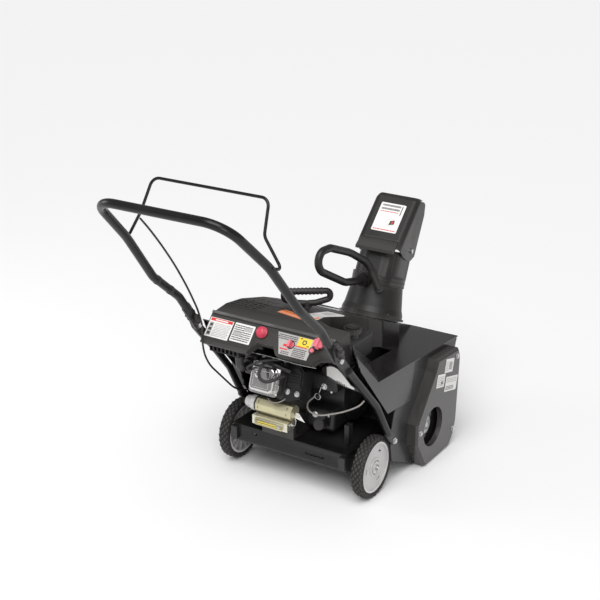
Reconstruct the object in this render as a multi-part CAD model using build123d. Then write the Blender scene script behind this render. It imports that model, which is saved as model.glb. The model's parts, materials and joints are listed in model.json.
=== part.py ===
from build123d import *
import math
import os

# A walk-behind single stage snowblower, in millimetres.
# Built about the point on the ground under the axle: +Z up, the auger mouth faces -Y, the operator
# stands on the +Y side. At export everything moves so that the origin is the middle of the base.

# Driving dimensions
WHEEL_D = 200.0
WHEEL_W = 40.0
WHEEL_FACE_X = 266.5
BEAD_R = 81.4
AXLE_D = 12.7
AXLE_Z = WHEEL_D / 2
SHEET = 3.0
RUN_FIT = 0.05
GAP = 0.4

HOUSING_X = 267.0
AUGER_Y, AUGER_Z = -293.0, 128.0
AUGER_R = 116.0
SCROLL_R = 124.0
AUGER_SHAFT_D = 19.0
LIP_Y, LIP_Z = -522.0, 358.0

DECK_Y0, DECK_Z0 = 17.0, 397.0
DECK_SLOPE = (DECK_Z0 - LIP_Z) / (DECK_Y0 - LIP_Y)
TOWER_REAR_Y, TOWER_REAR_Z = -268.0, 466.0

RING_CENTRE = (0.0, -420.0, 405.0)
CHUTE_TILT = 21.4
CHUTE_TURN = 8.0
FLANGE_R = 103.0
CHUTE_FOOT_R = 97.0
CHUTE_NECK_R = 86.0
CHUTE_NECK_W = 108.0
TROUGH_CORNER = 52.0
DEFLECTOR_ROUND = 20.0
DEFLECTOR_PIN_V, DEFLECTOR_PIN_W = 45.0, 238.0

HOOD_X = 245.0
PANEL_TOP_Y, PANEL_TOP_Z = 134.0, 554.0
PANEL_TILT = 42.0
HOOD_SHOULDER = 8.0
CAP_X, CAP_Y, CAP_Z = -135.0, -64.0, 500.0

WING_X = 273.5

PIVOT_Y, PIVOT_Z = 213.0, 536.0
LOCK_Y, LOCK_Z = 228.0, 568.0
HANDLE_R = 12.7
LEG_X = 250.0
LOWER_X = 262.0
FOOT_X = HOUSING_X + SHEET + GAP
BAIL_R = 4.25
GRIP_R = 10.0
BAIL_X, BAIL_Y, BAIL_Z = 233.5, 531.0, 905.0

CABLE_R = 3.0
CABLE_BREAK = 4.0

CRANK_X, CRANK_Y, CRANK_Z = 55.0, -110.0, 290.0
CRANK_D = 25.4
BELT_X = 288.0

nodes = {}


# Shape helpers

def outline(points):
    return make_face(Polyline(*points, close=True))


def slab_x(points, x_low, x_high):
    """A (y, z) outline, solid between two x planes."""
    return extrude(Plane.YZ.offset(x_low) * outline(points), amount=x_high - x_low, dir=(1, 0, 0))


def slab_z(points, z_low, z_high):
    """An (x, y) outline, solid between two heights."""
    return extrude(Plane.XY.offset(z_low) * outline(points), amount=z_high - z_low, dir=(0, 0, 1))


def block(low, high):
    size = [b - a for a, b in zip(low, high)]
    centre = [(a + b) / 2 for a, b in zip(low, high)]
    return Pos(*centre) * Box(*size)


def rounded_block(low, high, radius):
    solid = block(low, high)
    return fillet(solid.edges(), radius)


def rod(start, end, radius):
    start, end = Vector(*start), Vector(*end)
    axis = end - start
    return extrude(Plane(origin=start, z_dir=axis) * Circle(radius), amount=axis.length)


def pipe(start, end, outer, inner):
    return rod(start, end, outer) - rod(start, end, inner)


def x_disc(y, z, x_low, x_high, radius):
    return rod((x_low, y, z), (x_high, y, z), radius)


def x_ring(y, z, x_low, x_high, outer, inner):
    return pipe((x_low, y, z), (x_high, y, z), outer, inner)


def bent_rod(points, bends, radius):
    path = FilletPolyline(*points, radius=bends)
    section = Plane(origin=path @ 0, z_dir=path % 0) * Circle(radius)
    return sweep(section, path=path)


def plate_on(plane, points, thickness):
    """A flat plate drawn in a plane and thickened along its normal."""
    return extrude(plane * outline(points), amount=thickness, dir=plane.z_dir)


def mirrored(solid):
    return mirror(solid, about=Plane.YZ)


def both_sides(solid):
    return [solid, mirrored(solid)]


def polar(angle, radius):
    return radius * math.cos(math.radians(angle)), radius * math.sin(math.radians(angle))


def hex_bolt(position, direction, head_r, head_h, shank_r, shank):
    """A hexagon-head bolt: the head stands out along direction, the shank goes back into the part."""
    plane = Plane(origin=position, z_dir=direction)
    head = extrude(plane * RegularPolygon(head_r, 6), amount=head_h)
    washer = extrude(plane * Circle(head_r * 1.25), amount=head_h * 0.25)
    bolt = head + washer
    if shank:
        bolt += extrude(plane * Circle(shank_r), amount=-shank)
    return bolt


def group(name, solids):
    """Several like pieces kept in one node as separate solids."""
    nodes[name] = Compound([piece for solid in solids for piece in solid.solids()])


def deck_z(y):
    return DECK_Z0 + DECK_SLOPE * (y - DECK_Y0)


# Wheels and axle

def wheels():
    face, back = WHEEL_FACE_X, WHEEL_FACE_X - WHEEL_W
    mid = (face + back) / 2
    radius = WHEEL_D / 2
    tread = [(back, 84), (back, 92), (back + 5, 98), (mid - 9, radius), (mid + 9, radius),
             (face - 5, 98), (face, 92), (face, 84), (face - 5, BEAD_R), (back + 5, BEAD_R)]
    section = make_face(Polyline(*[(r, x) for x, r in tread], close=True))
    tyre = revolve(Plane(origin=(0, 0, 0), x_dir=(0, 0, 1), z_dir=(0, 1, 0)) * section, Axis.X)
    tyre = Pos(0, 0, AXLE_Z) * tyre
    shell = x_ring(0, AXLE_Z, back + 4, face - 4, BEAD_R, 74)
    dish = x_disc(0, AXLE_Z, face - 12, face - 8, 75)
    step = x_disc(0, AXLE_Z, face - 14, face - 10, 46)
    hub = x_disc(0, AXLE_Z, back - 2, face - 2, 19)
    collar = x_ring(0, AXLE_Z, face - 10, face - 5, 30, 24)
    ribs = []
    for turn in range(0, 360, 24):
        rib = block((back + 8, -1.6, 17), (face - 9, 1.6, 76))
        ribs.append(Pos(0, 0, AXLE_Z) * Rot(turn, 0, 0) * rib)
    rim = shell + dish + step + hub + collar
    for rib in ribs:
        rim += rib
    for turn in (35, 155, 275):
        slot = Pos(0, 0, AXLE_Z) * Rot(turn, 0, 0) * block((face - 16, -9, 50), (face, 9, 56))
        rim -= slot
    rim -= x_disc(0, AXLE_Z, back - 10, face + 10, AXLE_D / 2 + RUN_FIT)
    nodes["tyre_left"], nodes["tyre_right"] = both_sides(tyre)
    nodes["rim_left"], nodes["rim_right"] = both_sides(rim)
    nodes["axle"] = x_disc(0, AXLE_Z, -WHEEL_FACE_X - 5, WHEEL_FACE_X + 5, AXLE_D / 2)
    nut = x_disc(0, AXLE_Z, face - 1.5, face + 5.5, 11) + x_disc(0, AXLE_Z, face + 5.5, face + 8, 8)
    nut -= x_disc(0, AXLE_Z, face - 3, face + 5, AXLE_D / 2)
    group("hub_caps", both_sides(nut))


# Frame

def frame():
    half, top, rear, front = 210.0, 166.0, 90.0, -166.0
    pan = block((-half, front, top - SHEET), (half, rear, top))
    skirt = block((-half, rear - SHEET, 112), (half, rear, top))
    lip = rod((-half, rear - 4, 112), (half, rear - 4, 112), 5)
    side_outline = [(rear, 112), (rear, top), (front, top), (front, 120), (-60, 84), (30, 84)]
    side = slab_x(side_outline, half - SHEET, half)
    flange = slab_x([(rear + 12, 118), (rear + 12, 158), (rear - 1, 158), (rear - 1, 118)],
                    half - 22, half)
    pan += skirt + lip
    for solid in both_sides(side) + both_sides(flange):
        pan += solid
    pan -= x_disc(0, AXLE_Z, -half - 5, half + 5, AXLE_D / 2)
    slots = [(118, 136, 150, 142), (-130, -60, 136, 130)]
    for x_low, x_high, z_high, z_low in slots:
        low, high = sorted((x_low, x_high))
        pan -= block((low, rear - 10, z_low), (high, rear + 5, z_high))
    for boss in both_sides(x_ring(0, AXLE_Z, half - SHEET - 8, half + 12, 13, AXLE_D / 2)):
        pan += boss
    pan += block((-184, 10, top - SHEET), (-168, 33, 234))
    nodes["frame_pan"] = pan


# Auger housing, its side covers and the auger

def scroll_sheet():
    """The curved back of the chamber: scraper edge, round scroll, then the roof up to the lip."""
    inner, outer = SCROLL_R, SCROLL_R + SHEET
    centre = (AUGER_Y, AUGER_Z)

    def at(angle, radius):
        y, z = polar(angle, radius)
        return centre[0] + y, centre[1] + z

    rise = 62.0
    with BuildSketch(Plane.YZ.offset(-HOUSING_X)) as sketch:
        with BuildLine():
            low_in, low_out = at(-78, inner), at(-78, outer)
            top_in, top_out = at(rise, inner), at(rise, outer)
            ThreePointArc(low_in, at(0, inner), top_in)
            Line(top_in, (LIP_Y + 4, LIP_Z - 12))
            Line((LIP_Y + 4, LIP_Z - 12), (LIP_Y + 3, LIP_Z - 8))
            Line((LIP_Y + 3, LIP_Z - 8), top_out)
            ThreePointArc(top_out, at(0, outer), low_out)
            Line(low_out, low_in)
        make_face()
    return extrude(sketch.sketch, amount=2 * HOUSING_X, dir=(1, 0, 0))


def ring_plane(height=0.0):
    """The chute's own frame: x across, y along the throw, z up its tilted axis."""
    tilt = math.radians(CHUTE_TILT)
    up = Vector(0, -math.sin(tilt), math.cos(tilt))
    base = Vector(*RING_CENTRE) + up * height
    return Plane(origin=base, x_dir=(1, 0, 0), z_dir=up)


def ring_disc(low, high, radius):
    return extrude(ring_plane(low) * Circle(radius), amount=high - low)


def housing():
    side = [(-88, 84), (-240, 8), (-430, 8), (-464, 60), (-490, 250), (LIP_Y, LIP_Z - 6),
            (-300, deck_z(-300) - 4), (-214, deck_z(-214) - 4), (-96, 250), (-72, 170)]
    shell = scroll_sheet()
    for plate in both_sides(slab_x(side, HOUSING_X, HOUSING_X + SHEET)):
        shell += plate
    shell += rod((-HOUSING_X - SHEET, LIP_Y + 4, LIP_Z - 12), (HOUSING_X + SHEET, LIP_Y + 4, LIP_Z - 12), 5)
    neck = ring_disc(-150, -GAP, 92)
    chamber = scroll_fill()
    neck -= chamber
    shell -= ring_disc(-170, 40, 86)
    neck -= ring_disc(-170, 40, 86)
    shell += neck
    shell -= x_disc(AUGER_Y, AUGER_Z, -330, 330, 30)
    shell -= x_disc(CRANK_Y, CRANK_Z, 260, 280, 14)
    nodes["auger_housing"] = shell
    nodes["shave_plate"] = block((-HOUSING_X, -336, 0), (HOUSING_X, -262, 3.4))


def scroll_fill():
    """Everything inside the chamber, up to the underside of its roof."""
    low_y, low_z = AUGER_Y, AUGER_Z
    round_part = x_disc(low_y, low_z, -HOUSING_X, HOUSING_X, SCROLL_R + 1)
    dy, dz = polar(62.0, SCROLL_R + 1)
    front = [(low_y + dy, low_z + dz), (LIP_Y + 4, LIP_Z - 11), (LIP_Y - 80, LIP_Z - 11),
             (LIP_Y - 80, 4), (low_y, 4), (low_y, low_z)]
    return round_part + slab_x(front, -HOUSING_X, HOUSING_X)


def side_covers():
    """A pressed cover on each flank; the left one is deeper at the back, over the belt."""
    rim = [(-245, 4), (-184, 102), (-184, 175), (-251, 257), (-299, 316), (-317, 352), (-467, 342),
           (-480, 310), (-466, 83), (-448, 34), (-420, 4)]
    near = HOUSING_X + SHEET + GAP / 4
    cover = slab_x(rim, near, near + 38)
    cover = chamfer(cover.faces().sort_by(Axis.X)[-1].edges(), 7)
    hollow_outline = scaled_about(rim, (-340, 170), 0.93)
    cover -= slab_x(hollow_outline, near - 1, near + 34)
    cover -= x_disc(AUGER_Y, AUGER_Z, near, near + 60, 66)
    lip = x_ring(AUGER_Y, AUGER_Z, near + 20, near + 36, 72, 66)
    right = mirrored(cover + lip)
    nodes["side_cover_right"] = right
    belt_rim = [(-245, 6), (-190, 60), (-60, 220), (-40, 300), (-80, 345), (-150, 360), (-300, 330),
                (-467, 342), (-480, 310), (-466, 83), (-448, 34), (-420, 6)]
    deep = slab_x(belt_rim, near, near + 42)
    deep = chamfer(deep.faces().sort_by(Axis.X)[-1].edges(), 8)
    deep -= slab_x(scaled_about(belt_rim, (-290, 190), 0.95), near - 1, near + 38.5)
    deep -= slab_x([(160, 540), (20, 400), (-222, 392), (-196, 246), (160, 246)], near - 1, WING_X + GAP)
    nodes["belt_cover"] = deep
    plate = x_ring(AUGER_Y, AUGER_Z, near, near + 4, 56, 17)
    plate = plate + x_ring(AUGER_Y, AUGER_Z, near + 4, near + 12, 30, 17)
    flat = plate - x_ring(AUGER_Y, AUGER_Z, near + 4, near + 14, 40, 16)
    race = x_ring(AUGER_Y, AUGER_Z, near - 2, near + 9, 17, AUGER_SHAFT_D / 2 + RUN_FIT)
    flat_race = x_ring(AUGER_Y, AUGER_Z, near - 2, near + 3.5, 17, AUGER_SHAFT_D / 2 + RUN_FIT)
    group("auger_bearings", [mirrored(plate + race), flat + flat_race])
    bolts = []
    for turn in (30, 150, 270):
        dy, dz = polar(turn, 43)
        bolts.append(hex_bolt((-near - 4, AUGER_Y + dy, AUGER_Z + dz), (-1, 0, 0), 6.5, 5, 3, 0))
    for y, z in ((-205, 140), (-452, 318), (-440, 60)):
        bolts.append(hex_bolt((-near - 38, y, z), (-1, 0, 0), 7, 5, 3, 0))
    for y, z in ((-75, 270), (-205, 90), (-400, 320), (-430, 60)):
        bolts.append(hex_bolt((near + 42, y, z), (1, 0, 0), 7, 5, 3, 0))
    group("cover_bolts", bolts)


def scaled_about(points, centre, factor):
    return [(centre[0] + (y - centre[0]) * factor, centre[1] + (z - centre[1]) * factor)
            for y, z in points]


def paddle(x_start, x_end, turn_start, turn_end, r_low, r_high, thickness):
    """A twisted paddle: a radial blade section that turns as it runs along the shaft."""
    steps = 6
    sections = []
    for step in range(steps + 1):
        share = step / steps
        x = x_start + (x_end - x_start) * share
        turn = turn_start + (turn_end - turn_start) * share
        half = thickness / 2
        corners = [(r_low, -half), (r_high, -half), (r_high, half), (r_low, half)]
        cos, sin = polar(turn, 1)
        points = [(AUGER_Y + r * cos - t * sin, AUGER_Z + r * sin + t * cos) for r, t in corners]
        sections.append(Plane.YZ.offset(x) * outline(points))
    return loft(sections, ruled=True)


def auger():
    end = HOUSING_X + SHEET + 9
    shaft = x_disc(AUGER_Y, AUGER_Z, -end - 6, BELT_X + 12, AUGER_SHAFT_D / 2)
    paddles = []
    for side in (1, -1):
        for turn in (0, 180):
            start, stop = side * 30.0, side * 255.0
            shaft += paddle(start, stop, turn, turn + 80, AUGER_SHAFT_D / 2 - 1, 70, 5)
            paddles.append(paddle(start, stop, turn, turn + 80, 70, AUGER_R, 9))
    for turn in (0, 180):
        shaft += paddle(-29.7, 29.7, turn, turn, AUGER_SHAFT_D / 2 - 1, 70, 5)
        paddles.append(paddle(-29.7, 29.7, turn, turn, 70, AUGER_R, 9))
    nodes["auger_shaft"] = shaft
    group("auger_paddles", paddles)


# Belt drive

def belt_drive():
    small, large = 30.0, 62.0
    low, high = BELT_X - 7, BELT_X + 7

    def sheave(y, z, radius, bore):
        wheel = x_disc(y, z, low, high, radius)
        groove = x_ring(y, z, BELT_X - 4.5, BELT_X + 4.5, radius + 1, radius - 8)
        return wheel - groove - x_disc(y, z, low - 1, high + 1, bore)

    nodes["auger_pulley"] = sheave(AUGER_Y, AUGER_Z, large, AUGER_SHAFT_D / 2)
    nodes["drive_pulley"] = sheave(CRANK_Y, CRANK_Z, small, 10)
    run = math.dist((AUGER_Y, AUGER_Z), (CRANK_Y, CRANK_Z))
    lean = math.degrees(math.atan2(CRANK_Z - AUGER_Z, CRANK_Y - AUGER_Y))
    big, little = large - 7.4, small - 7.4
    swing = math.degrees(math.acos((big - little) / run))

    def loop(extra):
        points = []
        for sign in (1, -1):
            a = polar(lean + sign * swing, big + extra)
            b = polar(lean + sign * swing, little + extra)
            pair = [(AUGER_Y + a[0], AUGER_Z + a[1]), (CRANK_Y + b[0], CRANK_Z + b[1])]
            points.append(pair)
        far_big = polar(lean + 180, big + extra)
        far_small = polar(lean, little + extra)
        with BuildSketch(Plane.YZ.offset(BELT_X - 4)) as sketch:
            with BuildLine():
                Line(points[0][0], points[0][1])
                ThreePointArc(points[0][1], (CRANK_Y + far_small[0], CRANK_Z + far_small[1]),
                              points[1][1])
                Line(points[1][1], points[1][0])
                ThreePointArc(points[1][0], (AUGER_Y + far_big[0], AUGER_Z + far_big[1]),
                              points[0][0])
            make_face()
        return extrude(sketch.sketch, amount=8, dir=(1, 0, 0))

    nodes["drive_belt"] = loop(7) - loop(0)


# Shroud

def shroud():
    """The moulded top: a deck over the chamber, a wedge under the chute and a wing on each flank."""
    wedge_plan = [(-130, -262), (-166, -309), (-114, -400), (-100, LIP_Y), (100, LIP_Y), (114, -400),
                  (166, -309), (130, -262)]
    rear = TOWER_REAR_Y + 6
    wedge_side = [(rear, deck_z(rear) - 4), (rear, TOWER_REAR_Z + 2), (LIP_Y, LIP_Z), (LIP_Y, LIP_Z - 4)]
    wedge = slab_z(wedge_plan, 300, 500) & slab_x(wedge_side, -200, 200)
    corner_edges = wedge.edges().filter_by(Axis.Z).filter_by(lambda e: e.center().Y > -300)
    wedge = fillet(corner_edges, 14)
    deck_side = [(DECK_Y0, DECK_Z0), (LIP_Y, LIP_Z), (LIP_Y, LIP_Z - 4), (DECK_Y0, DECK_Z0 - 4)]
    deck_plan = [(-WING_X, DECK_Y0), (-WING_X, LIP_Y), (WING_X, LIP_Y), (WING_X, DECK_Y0), (248, DECK_Y0),
                 (168, -262), (-168, -262), (-168, -124)]
    deck = slab_z(deck_plan, 300, 500) & slab_x(deck_side, -300, 300)
    body = deck + wedge
    inner_plan = scaled_about(wedge_plan, (0, -385), 0.965)
    inner_side = [(TOWER_REAR_Y, 300), (TOWER_REAR_Y, TOWER_REAR_Z - 2), (LIP_Y + 8, LIP_Z - 3),
                  (LIP_Y + 8, 300)]
    body -= slab_z(inner_plan, 335, 500) & slab_x(inner_side, -200, 200)
    body -= ring_disc(-200, 40, 93)
    body += side_sheet(-WING_X) + ridge_facets()
    body += side_sheet(WING_X - SHEET) - x_disc(CRANK_Y, CRANK_Z, 260, 280, 14)
    slant = [(DECK_Y0, DECK_Z0), (150, 528), (148, 524), (DECK_Y0 - 2, DECK_Z0 - 4)]
    body += slab_x(slant, 248, WING_X)
    nodes["upper_shroud"] = body


def side_sheet(x):
    """A flank of the shroud: a flat side sheet with two louvre slots near its top."""
    front = -217
    sheet = slab_x([(150, 528), (DECK_Y0, DECK_Z0), (front, deck_z(front)), (-192, 251), (-48, 266),
                    (88, 428), (128, 476)], x, x + SHEET)
    for y, z in ((130, 488), (141, 483)):
        sheet -= slab_x([(y, z), (y + 4, z - 2), (y - 8, z - 34), (y - 12, z - 32)], x - 1, x + 8)
    return sheet


def ridge_facets():
    """The slanted facet above the right flank and the low wall under its ridge, by the fuel cap."""
    bury = 2.0
    low, high = Vector(-WING_X, DECK_Y0 - bury, DECK_Z0 - bury), Vector(-WING_X, 150, 528)
    inner_low, inner_high = Vector(-168, -124 - bury, deck_z(-124) - bury), Vector(-206, 62, 520)
    facet = thick_facet([low, high, inner_high, inner_low], Vector(0.6, 0.5, -0.6), 3.5)
    wall_low, wall_high = Vector(-168, -124, deck_z(-124) - 40), Vector(-206, 62, 470)
    return facet + thick_facet([inner_low, inner_high, wall_high, wall_low], Vector(-1, 0.3, 0), 3.5)


def thick_facet(corners, push, thickness):
    """A four-cornered facet given thickness by lofting it to a pushed copy of itself."""
    step = push.normalized() * thickness
    first = [tuple(c) for c in corners]
    second = [tuple(c + step) for c in corners]
    faces = []
    for ring in (first, second):
        faces.append(Face(Wire.make_polygon(ring[:3], close=True)))
        faces.append(Face(Wire.make_polygon([ring[0], ring[2], ring[3]], close=True)))
    count = len(corners)
    for index in range(count):
        following = (index + 1) % count
        quad = [first[index], first[following], second[following], second[index]]
        faces.append(Face(Wire.make_polygon(quad, close=True)))
    return Solid(Shell(faces))


# Hood and control panel

HOOD_PROFILE = [(PANEL_TOP_Y, PANEL_TOP_Z), (71, 561), (-9, 551), (-132, 517), (-225, 481),
                (TOWER_REAR_Y + 6.5, TOWER_REAR_Z + 1)]


def hood_solid(inset, bottom):
    """The hood's outer block, or its hollow when inset is positive."""
    plan = [(HOOD_X, PANEL_TOP_Y), (HOOD_X, -205), (160, TOWER_REAR_Y + 6.5), (-128, TOWER_REAR_Y + 6.5),
            (-98, -232), (-86, -110), (-70, -40), (-72, 25), (-130, 62), (-204, 68), (-204, PANEL_TOP_Y)]
    if inset:
        face = offset(outline(plan), amount=-inset, kind=Kind.INTERSECTION)
        prism = extrude(Plane.XY.offset(bottom) * face, amount=400)
    else:
        prism = slab_z(plan, bottom, bottom + 400)
    top = [(y, z - inset) for y, z in HOOD_PROFILE]
    low = [(top[-1][0], bottom - 1), (top[0][0], bottom - 1)]
    return prism & slab_x(top + low, -300, 300)


def hood():
    outer = hood_solid(0, 370)
    shoulder = outer.edges().filter_by(lambda e: e.center().X > HOOD_X - 1 and e.center().Z > 480)
    outer = fillet(shoulder, HOOD_SHOULDER)
    lower_cut = [(PANEL_TOP_Y + 1, 360), (PANEL_TOP_Y + 1, 505), (40, 425), (DECK_Y0, DECK_Z0 + 1),
                 (-265, deck_z(-265) + 1), (-265, 360)]
    shell = outer - hood_solid(SHEET, 360) - slab_x(lower_cut, -300, 300)
    for row in range(7):
        for column in range(4):
            x = 222 - 27 * column - 3 * (row % 2)
            y = 62 - 21 * row
            shell -= block((x - 10, y - 3, 480), (x + 10, y + 3, 600))
    nodes["hood"] = shell
    trim = slab_x([(PANEL_TOP_Y - 1, PANEL_TOP_Z + 2.5), (PANEL_TOP_Y + 5, PANEL_TOP_Z - 3),
                   (PANEL_TOP_Y + 8, PANEL_TOP_Z - 1), (PANEL_TOP_Y + 2, PANEL_TOP_Z + 5.5)],
                  -196, HOOD_X - 2)
    nodes["hood_trim"] = trim


def panel_plane(x=0.0, down=0.0, out=0.0):
    """The control panel's face: x across to the left, y up the slope, z out towards the operator."""
    tilt = math.radians(PANEL_TILT)
    slope = Vector(0, math.cos(math.radians(48)), -math.sin(math.radians(48)))
    normal = Vector(0, math.cos(tilt), math.sin(tilt))
    origin = Vector(x, PANEL_TOP_Y, PANEL_TOP_Z) + slope * down + normal * out
    return Plane(origin=origin, x_dir=(-1, 0, 0), z_dir=normal)


def panel():
    plate_outline = [(-HOOD_X, 0), (204, 0), (204, -52), (160, -62), (146, -80), (20, -80), (4, -58),
                     (-52, -58), (-66, -76), (-78, -96), (-HOOD_X, -96)]
    face = plate_on(panel_plane(0, 5, -4), plate_outline, 4)
    back = panel_plane(0, 5, -26)
    returns = plate_on(back, plate_outline, 22.5)
    returns -= plate_on(panel_plane(0, 5, -27), inset_outline(plate_outline, 3), 24)
    ledge = plate_on(panel_plane(0, 97, -4), [(-HOOD_X, 4), (-74, 4), (-74, -7), (-HOOD_X, -7)], 6)
    body = face + returns + ledge
    for x, down, radius in ((48, 30, 15.5), (-59, 44, 9), (-133, 46, 7), (-152, 24, 6.5)):
        body -= extrude(panel_plane(x, down, -30) * Circle(radius), amount=60)
    nodes["control_panel"] = body - hood_solid(0, 370)


def inset_outline(points, amount):
    face = offset(outline(points), amount=-amount, kind=Kind.INTERSECTION)
    return [tuple(edge @ 0)[:2] for edge in face.face().outer_wire().order_edges()]


def controls():
    bulb = extrude(panel_plane(48, 30, -6) * Circle(15.5 - GAP), amount=10)
    bulb += extrude(panel_plane(48, 30, 4) * Circle(18), amount=4)
    dome = panel_plane(48, 30, 6).location * Sphere(16)
    cut = extrude(panel_plane(48, 30, -30) * Rectangle(60, 60), amount=36)
    nodes["primer_bulb"] = bulb + (dome - cut)
    key = extrude(panel_plane(-59, 44, -10) * Circle(9 - GAP), amount=12)
    key += extrude(panel_plane(-59, 44, 2) * Rectangle(7, 19), amount=16)
    nodes["ignition_key"] = key
    button = extrude(panel_plane(-133, 46, -12) * Circle(7 - GAP), amount=17)
    nodes["start_button"] = button
    collar = extrude(panel_plane(-133, 46) * Circle(10.5), amount=3)
    nodes["control_panel"] += collar - extrude(panel_plane(-133, 46, -5) * Circle(7), amount=12)
    choke = extrude(panel_plane(-152, 24, -14) * Circle(6.5 - GAP), amount=26)
    grip = extrude(panel_plane(-152, 24, 10) * Circle(17), amount=9)
    for turn in range(0, 360, 60):
        dx, dy = polar(turn, 18)
        notch_plane = panel_plane(-152, 24, 9)
        grip -= extrude(notch_plane * Pos(dx, dy) * Circle(4.2), amount=12)
    bar = extrude(panel_plane(-152, 24, 19) * Rectangle(8, 26), amount=8)
    nodes["choke_knob"] = choke + grip + bar


# Handles

def stadium(first, last, radius, x_low, x_high):
    """A plate with round ends between two (y, z) points."""
    run = Vector(0, last[0] - first[0], last[1] - first[1])
    across = Vector(0, -run.Z, run.Y).normalized() * radius
    corners = [(first[0] + across.Y, first[1] + across.Z), (last[0] + across.Y, last[1] + across.Z),
               (last[0] - across.Y, last[1] - across.Z), (first[0] - across.Y, first[1] - across.Z)]
    plate = slab_x(corners, x_low, x_high)
    for y, z in (first, last):
        plate += x_disc(y, z, x_low, x_high, radius)
    return plate


def upper_handle():
    points = [(LEG_X - 6, 258, 597), (LEG_X - 6, 300, 655), (247, 410, 750), (BAIL_X, BAIL_Y, BAIL_Z),
              (208, 681, 1051), (-208, 681, 1051), (-BAIL_X, BAIL_Y, BAIL_Z), (-247, 410, 750),
              (-LEG_X + 6, 300, 655), (-LEG_X + 6, 258, 597)]
    tube = bent_rod(points, [90, 90, 300, 78, 78, 300, 90, 90], HANDLE_R)
    x_low, x_high = LEG_X - 9, LEG_X - 1
    flat = stadium((PIVOT_Y, PIVOT_Z), (268, 612), 15, x_low, x_high)
    swell = stadium((254, 592), (268, 612), 13, x_low - 4, x_high)
    end = flat + swell
    end -= x_disc(PIVOT_Y, PIVOT_Z, x_low - 5, x_high + 5, 5)
    end -= x_disc(LOCK_Y, LOCK_Z, x_low - 5, x_high + 5, 4.5)
    for solid in both_sides(end):
        tube += solid
    for side in (1, -1):
        tube -= x_disc(BAIL_Y, BAIL_Z, side * (BAIL_X + 1), side * (BAIL_X + 14), BAIL_R + RUN_FIT)
    nodes["upper_handle"] = tube


def lock_notch(x_low, x_high):
    """The slot that the lock bolt leaves by: an arc about the pivot, open at the front."""
    reach = math.dist((PIVOT_Y, PIVOT_Z), (LOCK_Y, LOCK_Z))
    arc = x_ring(PIVOT_Y, PIVOT_Z, x_low, x_high, reach + 5, reach - 5)
    far_y, far_z = 2 * LOCK_Y - PIVOT_Y, 2 * LOCK_Z - PIVOT_Z
    ahead = slab_x([(far_y, far_z), (PIVOT_Y, PIVOT_Z), (PIVOT_Y - 60, PIVOT_Z + 20),
                    (PIVOT_Y - 60, far_z)], x_low, x_high)
    return (arc & ahead) + x_disc(LOCK_Y, LOCK_Z, x_low, x_high, 5)


def lower_handles():
    x_low, x_high = LEG_X - 0.4, LEG_X + 8
    points = [(LOWER_X - 3, 168, 487), (LOWER_X - 2, 145, 460), (LOWER_X + 8, 20, 318), (LOWER_X + 12, -52, 196)]
    tube = bent_rod(points, [60, 120], HANDLE_R - 1)
    flat = stadium((PIVOT_Y, PIVOT_Z), (166, 482), 15, x_low, x_high)
    horn = stadium((PIVOT_Y, PIVOT_Z), (LOCK_Y + 4, LOCK_Z + 8), 15, x_low, x_high)
    notch = lock_notch(x_low - 1, x_high + 1)
    foot = stadium((-48, 202), (-87, 158), 14, FOOT_X, FOOT_X + 8)
    handle = tube + flat + (horn - notch) + foot
    handle -= x_disc(PIVOT_Y, PIVOT_Z, x_low - 1, x_high + 1, 5)
    handle -= notch
    handle -= x_disc(-87, 158, FOOT_X - 1, FOOT_X + 9, 4)
    group("lower_handles", both_sides(handle))


def handle_hardware():
    x_in, x_out = LEG_X - 9, LEG_X + 8
    pin = x_disc(PIVOT_Y, PIVOT_Z, x_in - 4, x_out + 7, 5 - RUN_FIT)
    pin += x_disc(PIVOT_Y, PIVOT_Z, x_out + GAP, x_out + 6, 9)
    pin += x_disc(PIVOT_Y, PIVOT_Z, x_in - 6, x_in - GAP, 8)
    lock = x_disc(LOCK_Y, LOCK_Z, x_in - 6, x_out + 2, 4.5)
    head = x_disc(LOCK_Y, LOCK_Z, x_in - 8, x_in - GAP, 9)
    knob = x_disc(LOCK_Y, LOCK_Z, x_out + GAP, x_out + 16, 9)
    for turn in (0, 180):
        dy, dz = polar(turn + 65, 17)
        knob += stadium((LOCK_Y, LOCK_Z), (LOCK_Y + dy, LOCK_Z + dz), 6, x_out + 6, x_out + 15)
    group("lock_knobs", both_sides(knob + lock + head))
    feet = hex_bolt((FOOT_X + 8, -87, 158), (1, 0, 0), 8, 6, 3.95, 8)
    group("handle_bolts", both_sides(pin) + both_sides(feet))


def bail():
    """The wire control bar: it hooks into the outside of each leg, passes in front of it and rises."""
    hook = BAIL_X + HANDLE_R + BAIL_R + 2 * GAP
    side = [(BAIL_X + 2, BAIL_Y, BAIL_Z), (hook, BAIL_Y, BAIL_Z), (hook, 502, 896), (200.6, 504, 976),
            (188.6, 462, 1063)]
    other = [(-x, y, z) for x, y, z in reversed(side)]
    nodes["bail"] = bent_rod(side + other, [4.6, 12, 34, 26, 26, 34, 12, 4.6], BAIL_R)


# Cables

def cables():
    """The clutch cable in two runs that part at the handle's pivot, so that the handle can fold."""
    upper = [(212, 495, 951), (222, 448, 908), (232, 386, 842), (235, 324, 762), (234, 268, 672),
             (230, 228, 590), (228, PIVOT_Y + 1, PIVOT_Z + CABLE_BREAK)]
    nodes["clutch_cable_upper"] = cable(upper, CABLE_R)
    lower = [(228, PIVOT_Y, PIVOT_Z - CABLE_BREAK), (229, 214, 486), (233, 200, 436), (236, 170, 388),
             (237, 128, 346), (238, 84, 302), (238, 44, 262), (232, 8, 240), (222, -30, 232)]
    nodes["clutch_cable_lower"] = cable(lower, CABLE_R)


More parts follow.
